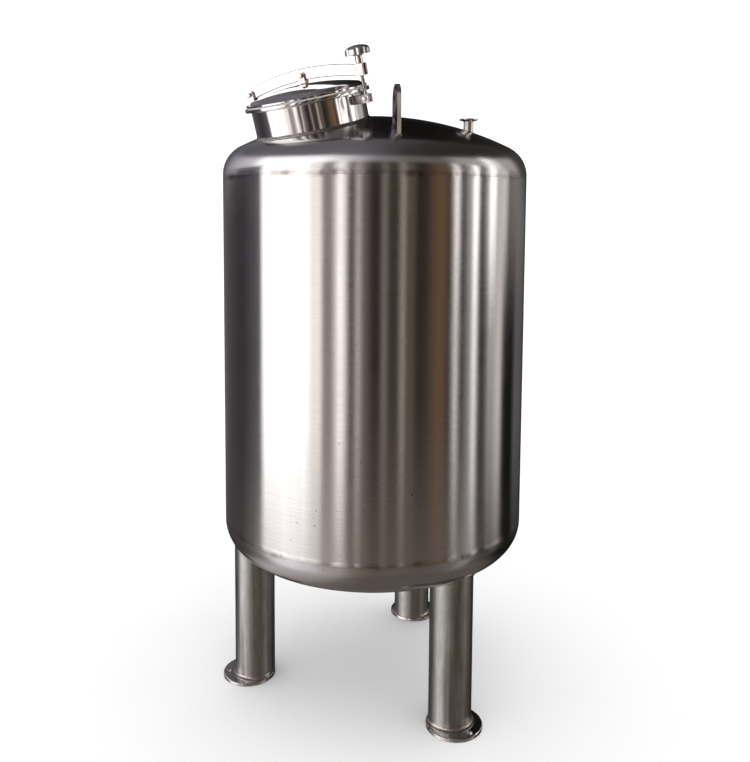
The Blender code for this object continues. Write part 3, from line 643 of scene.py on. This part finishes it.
# %% [markdown]
# ## The lid
# The lid is pressed from 4 mm sheet: a flat rim, a small knuckle, and a shallow crown. Its section is
# worked out like that of the heads, with a reversed bend where the crown rises from the rim.

# %% The dished lid
LID_RISE, LID_SHEET, DISH_REACH, DISH_EDGE = 27 * mm, 4 * mm, 138 * mm, 10 * mm
dish_radius = (DISH_REACH**2 + (LID_RISE - DISH_EDGE) ** 2) / (2 * (LID_RISE - DISH_EDGE))
dish_slope = math.degrees(math.asin(DISH_REACH / dish_radius))


def lid_line(offset, count):
    crown = arc((0, LID_RISE - dish_radius), dish_radius + offset, 90, 90 - dish_slope, count)
    crown[0] = (0.0, crown[0][1])
    return crown


line = lid_line(0, 26)
line += profile([(141.6, 8.9), (144.4, 7.2), (146.5, 5.0), (148.0, 2.8), (149.6, 1.1)])
line += profile([(151.8, 0.2), (154.0, 0.0), (159.2, 0.0), (160.0, -0.8)])
line += profile([(0, 0.6), (-0.6, 0)], LID_RADIUS, RIM_LOW) + [(DISH_REACH + 8 * mm, RIM_LOW)]
at_manhole(lathe("dished_lid", line + lid_line(-LID_SHEET, 12)[::-1]), polished, "manhole_lid")

# %% [markdown]
# ## Blocks and pins
# The small fittings are cut from bar. Each starts as a cube at its size, gets its slot and its round top
# with Boolean tools, and has all of its edges broken with a bevel, because a polished edge always shows
# a thin bright line. The pins are turned, with a flat head at each end.


# %% Helpers for blocks, round tops and pins
PAST = 100 * mm  # how far a cutting tool may reach past the piece that it cuts


def block(name, low, high):
    low, high = Vector(low), Vector(high)
    bpy.ops.mesh.primitive_cube_add(size=1, location=(low + high) / 2, scale=high - low)
    piece = bpy.context.object
    piece.name = piece.data.name = name
    bpy.ops.object.transform_apply(location=True, rotation=True, scale=True)
    return piece


def cross_bar(name, x, z, radius, length, steps=48):
    """A round bar along Y with its middle at x and z."""
    lying = Matrix.Translation((x, 0, z)) @ Matrix.Rotation(math.pi / 2, 4, "X")
    return settle(round_bar(name, radius, -length / 2, length / 2, steps), lying)


def pin(name, x, z, half_grip, node):
    half = [(0, 6), (5.1, 6), (6.1, 5.7), (6.5, 4.8), (6.5, 0.3), (6.2, 0), (4, 0)]
    half = profile(half, 0.0, half_grip + 0.2 * mm)
    line = half + [(reach, -height) for reach, height in reversed(half)]
    lying = Matrix.Translation((x, 0, z)) @ Matrix.Rotation(math.pi / 2, 4, "X")
    at_manhole(settle(lathe(name, line, 48), lying), turned, node)


# %% [markdown]
# ## The hinge of the cover, and the lug that hangs the lid
# Both are two plates with the bar between them. The hinge stands on a block welded to the flange's edge,
# and the lid's lug stands on a short round foot on the crown.

# %% Hinge lug and lid lug
BAR, BAR_GAP = 8 * mm, 0.5 * mm
HINGE_Z, HINGE_PLATE, HINGE_HALF = 24 * mm, 6 * mm, 11 * mm
LID_PIN_Z, LUG_PLATE, LUG_HALF = 48.5 * mm, 5 * mm, 9.5 * mm
half_slot = BAR / 2 + BAR_GAP

half_wide = half_slot + HINGE_PLATE
hinge = block(
    "cover_hinge_lug",
    (-ARM_REACH - HINGE_HALF, -half_wide, FLANGE_LOW),
    (-ARM_REACH + HINGE_HALF, half_wide, HINGE_Z),
)
cut(hinge, cross_bar("top", -ARM_REACH, HINGE_Z, HINGE_HALF, 2 * half_wide), "UNION")
cut(hinge, block("slot", (-2.5 * PAST, -half_slot, 0), (-PAST, half_slot, PAST)))
round_edges(hinge, 1.4 * mm)
at_manhole(hinge, cast, "hinge_lug")
pin("cover_hinge_pin", -ARM_REACH, HINGE_Z, half_wide, "hinge_pin")

half_wide = half_slot + LUG_PLATE
lug_foot, lug_slot = LID_RISE + 1.5 * mm, LID_RISE + 3.8 * mm
lug = block("lid_hanger_lug", (-LUG_HALF, -half_wide, lug_foot), (LUG_HALF, half_wide, LID_PIN_Z))
cut(lug, cross_bar("top", 0, LID_PIN_Z, LUG_HALF, 2 * half_wide), "UNION")
cut(lug, block("slot", (-PAST, -half_slot, lug_slot), (PAST, half_slot, PAST)))
round_edges(lug, 1.3 * mm)
at_manhole(lug, cast, "lid_lug")
foot_line = [(0, 2.4), (10.2, 2.4), (11.4, 1.6), (12.2, 0.4), (14.0, -0.8), (0, -0.8)]
at_manhole(lathe("lid_lug_foot", profile(foot_line, 0.0, LID_RISE), 48, 50), turned)
pin("lid_hanger_pin", 0, LID_PIN_Z, half_wide, "lid_lug_pin")

# %% [markdown]
# ## The bar over the lid
# A flat bar, 30 by 8 mm, stands on edge and is bent in one even curve from the hinge to the fork, with a
# round end at the hinge. Its side is drawn as one outline, filled, and pulled to the bar's thickness. The
# edges are well rounded, and the upper one mirrors the dark ceiling as a thin line.

# %% The bent bar
BAR_HEIGHT, CREST_X, CREST_Z = 30 * mm, 20 * mm, 51 * mm
bar_drop = CREST_Z - HINGE_Z
BAR_CURVE = ((ARM_REACH + CREST_X) ** 2 + bar_drop**2) / (2 * bar_drop)
FORK_HALF, FORK_Z, FORK_HEIGHT, FORK_SLOT = 12.5 * mm, 37 * mm, 30 * mm, 11.2 * mm


def bar_angle(x):
    """Direction from the curve's middle to the bar at a given x, in degrees from X."""
    return math.degrees(math.acos((x - CREST_X) / BAR_CURVE))


first, last = bar_angle(-ARM_REACH), bar_angle(ARM_REACH - FORK_HALF + 0.5 * mm)
curve_middle, half_height = (CREST_X, CREST_Z - BAR_CURVE), BAR_HEIGHT / 2
outline = arc(curve_middle, BAR_CURVE + half_height, last, first, 49)
outline += arc((-ARM_REACH, HINGE_Z), half_height, first, first + 180, 25)[1:-1]
outline += arc(curve_middle, BAR_CURVE - half_height, first, last, 49)
bar = walk("bent_bar", outline)
bpy.ops.mesh.edge_face_add()
bpy.ops.mesh.extrude_region_move(TRANSFORM_OT_translate={"value": (0, BAR, 0)})
bpy.ops.mesh.select_all(action="SELECT")
bpy.ops.mesh.normals_make_consistent(inside=False)
bpy.ops.object.mode_set(mode="OBJECT")
settle(bar, Matrix.Translation((0, -BAR / 2, 0)))
round_edges(bar, 3.4 * mm, 6, clamp=False)
at_manhole(bar, satin, "lid_arm")

# %% [markdown]
# ## The fork at the bar's end, and the clevis under it
# Both are slotted blocks. The fork takes the rod from outside, and its slot ends round, as a milling
# cutter leaves it. The clevis on the neck is cut to the neck's curve and holds the rod's eye on a pin.

# %% Fork and clevis
low, high = FORK_Z - FORK_HEIGHT / 2, FORK_Z + FORK_HEIGHT / 2
to_rod = Matrix.Translation((ARM_REACH, 0, 0))
fork = block(
    "fork_block",
    (ARM_REACH - FORK_HALF, -FORK_HALF, low),
    (ARM_REACH + FORK_HALF, FORK_HALF, high),
)
cut(fork, block("slot", (ARM_REACH, -FORK_SLOT / 2, -PAST), (ARM_REACH + PAST / 2, FORK_SLOT / 2, 2 * PAST)))
cut(fork, settle(round_bar("slot end", FORK_SLOT / 2, -PAST, 2 * PAST, 48), to_rod))
round_edges(fork, 1.2 * mm)
at_manhole(fork, cast, "arm_fork")

CLEVIS_Z, CLEVIS_HALF, CLEVIS_WIDE, CLEVIS_END = -35 * mm, 11 * mm, 11.5 * mm, 186 * mm
CLEVIS_SLOT, SLOT_START = 5.5 * mm, 161 * mm
clevis = block(
    "clevis_block",
    (NECK_RADIUS - 6 * mm, -CLEVIS_WIDE, CLEVIS_Z - CLEVIS_HALF),
    (CLEVIS_END, CLEVIS_WIDE, CLEVIS_Z + CLEVIS_HALF),
)
cut(clevis, block("slot", (SLOT_START, -CLEVIS_SLOT, -2 * PAST), (3 * PAST, CLEVIS_SLOT, 2 * PAST)))
round_edges(clevis, 1.0 * mm)
cut(clevis, round_bar("neck", NECK_RADIUS - 0.2 * mm, -PAST, PAST, 192))
at_manhole(smooth(clevis), cast, "bolt_clevis")
pin("clevis_pin", ARM_REACH, CLEVIS_Z, CLEVIS_WIDE, "bolt_pin")

# %% [markdown]
# ## The swing bolt
# A rod of 10 mm with a thread of 1.5 mm pitch, welded into an eye. The thread is cut as rings a pitch
# apart, which at this size can't be told from a helix.

# %% Eye and threaded rod
EYE_RADIUS, EYE_HALF, EYE_BORE = 10.5 * mm, 4.5 * mm, 4.3 * mm
ROD_RADIUS, ROD_TOP, THREAD_END, PITCH = 5 * mm, 84 * mm, -12 * mm, 1.5 * mm
root = ROD_RADIUS - 0.9 * mm
rod_line = [(0, ROD_TOP), (root - 0.3 * mm, ROD_TOP), (root, ROD_TOP - 0.3 * mm)]
z = ROD_TOP - 0.9 * mm
while z > THREAD_END:
    rod_line += [(ROD_RADIUS, z), (ROD_RADIUS, z - 0.2 * mm), (root, z - 0.75 * mm), (root, z - 0.9 * mm)]
    z -= PITCH
rod_line += [(ROD_RADIUS, z), (ROD_RADIUS, CLEVIS_Z + 3 * mm), (0, CLEVIS_Z + 3 * mm)]
rod = settle(lathe("rod", rod_line, 32, 30), to_rod)
eye = cross_bar("swing_eye_bolt", ARM_REACH, CLEVIS_Z, EYE_RADIUS, 2 * EYE_HALF, 64)
round_edges(eye, 0.8 * mm)
cut(eye, rod, "UNION")
cut(eye, cross_bar("hole", ARM_REACH, CLEVIS_Z, EYE_BORE, PAST, 48))
at_manhole(smooth(eye), turned, "swing_bolt", body="swing_bolt")

# %% [markdown]
# ## The star knob
# A cast and polished hand knob: a domed star with eight lobes on a slim hub. The blank is turned, eight
# hollows are milled into its edge, and the sharp edges they leave are rounded.

# %% Star knob
KNOB_RADIUS, KNOB_LOW, KNOB_TOP, KNOB_DOME, LOBES = 32 * mm, 73 * mm, 88 * mm, 9 * mm, 8
hub_low = FORK_Z + FORK_HEIGHT / 2 + 1 * mm
line = [(0, KNOB_TOP + KNOB_DOME)]
for degrees in (14, 28, 42, 56, 70, 80):
    a = math.radians(degrees)
    line.append((KNOB_RADIUS * 0.93 * math.sin(a), KNOB_TOP + KNOB_DOME * math.cos(a) ** 1.2))
line += profile([(-0.8, -0.6), (0, -2.5)], KNOB_RADIUS, KNOB_TOP)
line += profile([(0, 2.4), (-0.8, 0.8), (-2.6, 0)], KNOB_RADIUS, KNOB_LOW)
line += profile([(13, 0), (10.4, -1.6), (9.5, -4)], 0.0, KNOB_LOW)
line += profile([(9.5, 1), (8.7, 0), (5.3, 0)], 0.0, hub_low)
line += profile([(5.3, 0.4), (0, 0.4)], 0.0, ROD_TOP)
knob = lathe("star_hand_knob", line, 96)
HOLLOW_RADIUS, HOLLOW_DEPTH = 8.5 * mm, 3.5 * mm
for i in range(LOBES):
    angle = 2 * math.pi * (i + 0.5) / LOBES
    reach = KNOB_RADIUS - HOLLOW_DEPTH + HOLLOW_RADIUS
    spot = Matrix.Translation((reach * math.cos(angle), reach * math.sin(angle), 0))
    cutter = round_bar("hollow", HOLLOW_RADIUS, KNOB_LOW - 5 * mm, KNOB_TOP + 20 * mm, 64)
    cut(knob, settle(cutter, spot))
round_edges(knob, 0.7 * mm, 3, 28)
at_manhole(settle(knob, to_rod), polished, "star_knob", body="star_knob")

# %% [markdown]
# ## Lifting lugs
# Two plates of 10 mm stand on edge on the dome, in line with the tank's axis. Each has a round top and
# an eye, and a bead of weld all round its foot.

# %% Lifting lugs and their welds
LUG_BEARINGS, LUG_REACH = {"front": 17, "back": 197}, 328 * mm
LUG_WIDE, LUG_THICK, LUG_EYE_Z, LUG_EYE = 33 * mm, 5 * mm, 1627 * mm, 16 * mm
LUG_BLANK, LUG_WELD = 1470 * mm, 1.6 * mm


def lug_outline():
    """The outline of a lug's foot with its weld, as a loop of edges with rounded corners."""
    bpy.ops.mesh.primitive_plane_add(size=1)
    loop = bpy.context.object
    loop.scale = (2 * LUG_WIDE + LUG_WELD, 2 * LUG_THICK + LUG_WELD, 1)
    bpy.ops.object.transform_apply(scale=True)
    bpy.ops.object.mode_set(mode="EDIT")
    bpy.ops.mesh.select_all(action="SELECT")
    bpy.ops.mesh.bevel(offset=2.5 * mm, segments=4, affect="VERTICES")
    bpy.ops.mesh.select_all(action="SELECT")
    bpy.ops.mesh.delete(type="ONLY_FACE")
    bpy.ops.mesh.select_all(action="SELECT")
    bpy.ops.mesh.subdivide(number_cuts=5)
    bpy.ops.object.mode_set(mode="OBJECT")
    return loop


for side, bearing in LUG_BEARINGS.items():
    place = Matrix.Translation(towards(bearing) * LUG_REACH)
    place @= Matrix.Rotation(math.radians(bearing - 90), 4, "Z")
    plate = block("lug_plate_" + side, (-LUG_WIDE, -LUG_THICK, LUG_BLANK), (LUG_WIDE, LUG_THICK, LUG_EYE_Z))
    cut(plate, cross_bar("top", 0, LUG_EYE_Z, LUG_WIDE, 2 * LUG_THICK, 128), "UNION")
    cut(plate, cross_bar("eye", 0, LUG_EYE_Z, LUG_EYE, PAST, 96))
    round_edges(plate, 0.8 * mm)
    settle(plate, place)
    cut(plate, top_filler, keep_tool=True)
    hand_over(smooth(plate), polished, "polished_stainless", "lifting_lug_" + side)
    bead("lug_weld_" + side, settle(lug_outline(), place @ OVER_TANK), top_filler, -1, 2.4 * mm)

# %% [markdown]
# ## Clamp ferrules
# The vent and the outlet end in sanitary clamp ferrules: a thin tube with a flat collar that is sloped
# underneath for the clamp, and a shallow round groove in its face for the seal.


# %% Vent and outlet ferrules
def ferrule_line(tube_radius, collar, low, high):
    bore = tube_radius - FERRULE_WALL
    groove = (bore + collar) / 2 + 1.2 * mm
    line = [(bore, high)]
    line += profile([(-1.6, 0), (-1.1, -0.8), (0, -1.1), (1.1, -0.8), (1.6, 0)], groove, high)
    line += profile([(-0.5, 0), (0, -0.5), (0, -2.4), (-0.6, -2.9)], collar, high)
    line += profile([(2.2, -5.2), (0.5, -6.6), (0, -8.4)], tube_radius, high)
    return line + [(tube_radius, low), (bore, low)]


VENT_COLLAR, VENT_BLANK, OUTLET_COLLAR, OUTLET_BLANK = 24.5 * mm, 1500 * mm, 32 * mm, 60 * mm
line = ferrule_line(VENT_TUBE, VENT_COLLAR, VENT_BLANK, VENT_TOP)
vent = settle(lathe("vent_clamp_ferrule", line, 64), vent_place)
cut(vent, top_filler, keep_tool=True)
hand_over(smooth(vent), polished, "polished_stainless", "vent_ferrule")
loop = ring_loop(VENT_TUBE + 0.5 * mm, vent_place @ OVER_TANK, 64)
bead("vent_weld", loop, top_filler, -1, 1.7 * mm)

outlet_low = LOWER_TANGENT - HEAD_DEPTH - OUTLET_LENGTH
line = ferrule_line(OUTLET_TUBE, OUTLET_COLLAR, -outlet_low - OUTLET_BLANK, -outlet_low)
outlet = settle(lathe("outlet_clamp_ferrule", line, 80), Matrix.Rotation(math.pi, 4, "X"))
cut(outlet, bottom_filler, keep_tool=True)
hand_over(smooth(outlet), polished, "polished_stainless", "outlet_ferrule")
loop = ring_loop(OUTLET_TUBE + 0.5 * mm, UNDER_TANK, 96)
bead("outlet_weld", loop, bottom_filler, 1, 2.0 * mm)

for tool in (top_filler, bottom_filler):
    bpy.data.objects.remove(tool)

# %% [markdown]
# ## Camera
# The photograph was taken from about 2.4 m away, from just under the height of the upper seam, and the
# tank's sides stand almost upright in it. Tilting the camera down to the tank would lean them together,
# so part of the way is done by shifting the frame down, as with a view camera, and the rest by a tilt.

# %% Camera
CAMERA_BEARING, CAMERA_REACH, CAMERA_HEIGHT = 7.8, 2.34, 1.35
PITCH_DOWN, YAW, ROLL = 0.0843, 0.0011, 0.0066
SENSOR, FRAME_WIDTH, FOCAL_PIXELS, FRAME_SHIFT = 36, 750, 816.6, -0.1335

ahead = Matrix.Rotation(-YAW, 3, "Z") @ Vector((0, math.cos(PITCH_DOWN), -math.sin(PITCH_DOWN)))
level = Vector((math.cos(YAW), -math.sin(YAW), 0))
up = level.cross(ahead)
right = level * math.cos(ROLL) + up * math.sin(ROLL)
turn = Matrix.Rotation(math.radians(CAMERA_BEARING), 3, "Z")
right, ahead = turn @ right, turn @ ahead
axes = Matrix((right, right.cross(ahead), -ahead)).transposed()
lens = bpy.data.cameras.new("camera")
lens.sensor_width, lens.sensor_fit = SENSOR, "HORIZONTAL"
lens.lens, lens.shift_y = SENSOR * FOCAL_PIXELS / FRAME_WIDTH, FRAME_SHIFT
camera = bpy.data.objects.new("camera", lens)
bpy.context.scene.collection.objects.link(camera)
stand = turn @ Vector((0, -CAMERA_REACH, CAMERA_HEIGHT))
camera.matrix_world = Matrix.Translation(stand) @ axes.to_4x4()
bpy.context.scene.camera = camera
print("camera at", [round(x, 3) for x in camera.matrix_world.translation])

# %% [markdown]
# ## Floor and light
# Polished steel has hardly any colour of its own: it shows the room. So the studio is built for its
# reflections, as a room all round: a bright window wall on the left, narrow bright strips on the right,
# wood and dark curtains between them, a pale cornice above the walls, a dim ceiling, and a floor that is
# light near the window. It could be built from lit panels, but the world's own colour can be the whole
# room: each part is a row of colours by the direction in which one looks, seen from the tank.

# %% Directions in the room
world = bpy.data.worlds.new("studio")
bpy.context.scene.world = world
world.use_nodes = True
world.cycles.sampling_method = "NONE"
tree = world.node_tree
tree.nodes.clear()
way = add_node(tree, "TexCoord", give="Generated")
front, side, height = [
    add_node(tree, "VectorMath", {0: way, 1: axis}, "Value", operation="DOT_PRODUCT")
    for axis in (towards(CAMERA_BEARING), towards(CAMERA_BEARING + 90), Vector((0, 0, 1)))
]
bearing = add_node(tree, "Math", {0: side, 1: front}, operation="ARCTAN2")
around = add_node(tree, "Math", {0: bearing}, operation="DEGREES")
sideways = add_node(tree, "Math", {0: side, 1: height}, operation="DIVIDE")
leaning = add_node(tree, "Math", {0: front, 1: -0.25, 2: height}, operation="MULTIPLY_ADD")
print("0 degrees is at the camera, -90 on its left and 90 on its right")

# %% [markdown]
# The walls are the longest rows. Each stop is a direction in degrees and a colour, picked from
# what steel shows in such a room, and the blank stretches between two equal stops are the curtains.

# %% Colours of the walls
WINDOW, BLIND, STRIP = "#ffffff", "#d7d4ce", "#e8e3e2"
GREY, MAUVE, BROWN, UMBER = "#716a6a", "#453f41", "#605653", "#241c1b"
OLIVE, PINE, WOOD, CURTAIN = "#433e36", "#1d1a15", "#523f30", "#4a4747"
rows = {}
rows["left walls"] = around, -180, 180, [
    (-180, "#0c0b0c"), (-158, "#474648"), (-140, "#393639"), (-116, "#2b2829"), (-106, "#343236"),
    (-98, "#413f44"), (-92, "#514e53"), (-87.5, WINDOW), (-50, WINDOW), (-46.5, BLIND), (-39.5, BLIND),
    (-36.5, GREY), (-30.5, "#6c6463"), (-25, STRIP), (-21.5, STRIP), (-18.5, MAUVE), (-14, MAUVE),
    (-11.4, "#b5aba8"), (-8.8, BROWN), (-5, MAUVE), (-0.7, UMBER), (4, UMBER), (7, "#6c6763"),
    (10.5, "#2f2a25"),
]
rows["right walls"] = around, -180, 180, [
    (10.5, "#2f2a25"), (17.5, "#2f2a25"), (20.3, "#8f887f"), (22.8, OLIVE), (27.5, OLIVE), (31.5, PINE),
    (38, "#2c2521"), (46, WOOD), (50, WOOD), (56, "#352c28"), (58.5, "#6b6664"), (60.4, "#e2dddc"),
    (62.6, "#e2dddc"), (64.8, CURTAIN), (69.5, CURTAIN), (72, "#8f8a8a"), (74.5, "#7d7878"),
    (76.2, WINDOW), (79.8, WINDOW), (82.2, CURTAIN), (86.5, CURTAIN), (90.5, "#9a9595"), (93.5, WINDOW),
    (98, WINDOW), (101, "#9f9997"), (112, "#b0abaa"), (117, "#5d5856"), (134, "#5f5c5b"),
    (150, "#4d4b4d"), (166, "#151415"),
]
print("stops on the walls:", len(rows["left walls"][3]) + len(rows["right walls"][3]))

# %% [markdown]
# Below the window sills the walls are darker in places, so their row is multiplied with one more. Above
# the walls runs the cornice, and over it the ceiling, which ends in the dark back wall of the room.

# %% Colours of the sills, the cornice, the ceiling and the back wall
rows["sills"] = around, -180, 180, [
    (50, "#ffffff"), (58, "#c8c8c8"), (82, "#c8c8c8"), (87, "#7c7c7c"), (99, "#7c7c7c"),
    (102, "#ffffff"), (107, "#ffffff"), (112, "#3a3a3a"), (127, "#303030"), (134, "#c8c8c8"),
]
rows["cornice"] = around, -180, 180, [
    (-180, "#1b1a1b"), (-150, "#4c4a50"), (-128, "#8f8d92"), (-104, "#b4b2b8"), (-95, "#f2f2f4"),
    (-42, "#f2f0f2"), (-20, "#b4b2b4"), (0, "#757277"), (30, "#56544f"), (55, "#534f4b"),
    (70, "#8a8684"), (88, "#8a8684"), (96, "#f2f0ef"), (103, "#c0bcba"), (113, "#868281"),
    (124, "#8f8a88"), (138, "#383633"), (170, "#1b1a1b"),
]
rows["ceiling"] = side, -1, 1, [
    (-0.6, "#525057"), (-0.15, "#555157"), (0.05, "#464345"), (0.28, "#2f2c2c"), (0.6, "#242220"),
]
rows["back wall"] = side, -1, 1, [
    (-0.5, "#494850"), (-0.28, "#555358"), (-0.15, "#343234"), (0.0, "#0b0a0a"), (0.15, "#0c0b0a"),
    (0.3, "#191814"), (0.6, "#2a2825"),
]
print("rows so far:", ", ".join(rows))

# %% [markdown]
# The floor glows where the window lights it, and its row by direction holds far from the tank. Near the
# tank's feet one looks almost straight down, where a direction means little, so there the row goes by
# how far a look leans to the side.

# %% Colours of the floor
rows["far floor"] = around, -180, 180, [
    (-180, "#151413"), (-118, "#3c3837"), (-102, "#5a5655"), (-93, "#757070"), (-84, "#b1aeae"),
    (-68, "#c8c5c8"), (-56, "#b5b1b2"), (-46, "#aaa6a6"), (-39, "#8f8684"), (-24, "#817976"),
    (-17, "#655c59"), (-7, "#59524c"), (1, "#4e4740"), (14, "#534c47"), (40, "#4c4540"), (64, "#56514e"),
    (75, "#787470"), (81, "#504c4a"), (90, "#3d3735"), (106, "#312e2c"), (114, "#0f100d"),
]
rows["near floor"] = sideways, -2, 2, [
    (-1.4, "#676460"), (-0.9, "#4a4440"), (0.1, "#4b4541"), (0.3, "#595350"), (0.5, "#7d7876"),
    (0.7, "#8d8888"), (1.0, "#9a9599"), (1.5, "#aaa6a9"),
]
shown = {}
for name, (value, low, high, stops) in rows.items():
    spot = add_node(tree, "MapRange", {"Value": value, "From Min": low, "From Max": high})
    shown[name] = add_node(tree, "ValToRGB", {"Fac": spot})
    elements = shown[name].node.color_ramp.elements
    for i, (at, code) in enumerate(stops):
        position = (at - low) / (high - low)
        element = elements[i] if i < 2 else elements.new(position)
        element.position, element.color = position, linear(code)
    print(name + ":", len(stops), "stops")

# %% [markdown]
# Now the rows are laid over each other, from the walls up to the roof and down to the floor. Fine folds
# in the curtains give the steel its thin upright streaks: a noise that runs round the room and is the
# same at every height.


# %% The room, layer by layer
def lay(under, value, start, end, over, blend="MIX"):
    """Lays a part of the room over another: none of it where a value is at start, all of it at end."""
    share = {"Value": value, "From Min": start, "From Max": end}
    share = add_node(tree, "MapRange", share, interpolation_type="SMOOTHSTEP")
    layers = {"Factor": share, 6: under, 7: over}
    return add_node(tree, "Mix", layers, 2, data_type="RGBA", blend_type=blend)


def rise(degrees):
    """How far a look at a slope, in degrees above the level, rises."""
    return math.sin(math.radians(degrees))


walls = lay(shown["left walls"], around, 10.4, 10.5, shown["right walls"])
folds = add_node(tree, "TexNoise", {"W": bearing, "Scale": 42.0, "Detail": 3.0}, noise_dimensions="1D")
folds = {"Value": folds, "From Min": 0.32, "From Max": 0.68, "To Min": 0.66, "To Max": 1.38}
folds = add_node(tree, "MapRange", folds)
walls = {"Factor": 1.0, 6: walls, 7: folds}
walls = add_node(tree, "Mix", walls, 2, data_type="RGBA", blend_type="MULTIPLY")
walls = lay(walls, height, rise(1), rise(-8), shown["sills"], "MULTIPLY")
roof = lay(shown["ceiling"], front, -0.35, -0.72, shown["back wall"])
room = lay(walls, leaning, 0.20, 0.28, shown["cornice"])
room = lay(room, leaning, 0.48, 0.62, roof)
room = lay(room, height, rise(-13), rise(-27), shown["far floor"])
room = lay(room, height, rise(-33), rise(-50), shown["near floor"])
print("the room has", len(tree.nodes), "nodes")

# %% [markdown]
# Only the steel sees that room. Looked at straight, the backdrop is plain and pale, and so it is for the
# light that the matt floor gathers. The floor itself is a matt pale paint with faint clouds in it. It
# takes the tank's soft shadow, and the steel doesn't mirror it, because the room has its own floor.

# %% Backdrop and floor
camera_ray = add_node(tree, "LightPath", give="Is Camera Ray")
plain = {0: camera_ray, 1: camera_ray.node.outputs["Is Diffuse Ray"]}
plain = add_node(tree, "Math", plain, operation="ADD")
mirrored = add_node(tree, "Background", {"Color": room, "Strength": 2.2})
backdrop = add_node(tree, "Background", {"Color": linear("#ffffff"), "Strength": 1.25})
both = {0: plain, 1: mirrored, 2: backdrop}
both = add_node(tree, "MixShader", both)
add_node(tree, "OutputWorld", {"Surface": both})

matt = {"Roughness": 0.9, "Specular_IOR_Level": 0.0}
floor_paint, tree, place = start_material("studio_floor_paint", **matt)
clouds = add_node(tree, "TexNoise", {"Vector": place, "Scale": 3.0, "Detail": 4.0})
shade = {"Factor": clouds, 6: linear("#f7f7f7"), 7: linear("#f3f3f3")}
shade = add_node(tree, "Mix", shade, 2, data_type="RGBA")
surface(floor_paint, Base_Color=shade)
bpy.ops.mesh.primitive_circle_add(vertices=64, radius=9, fill_type="NGON")
studio_floor = bpy.context.object
studio_floor.name = "studio_floor"
studio_floor.data.materials.append(floor_paint)
studio_floor.visible_glossy = False
bpy.context.scene.view_settings.view_transform = "Standard"
print("studio ready, with", len(finished), "finished pieces")
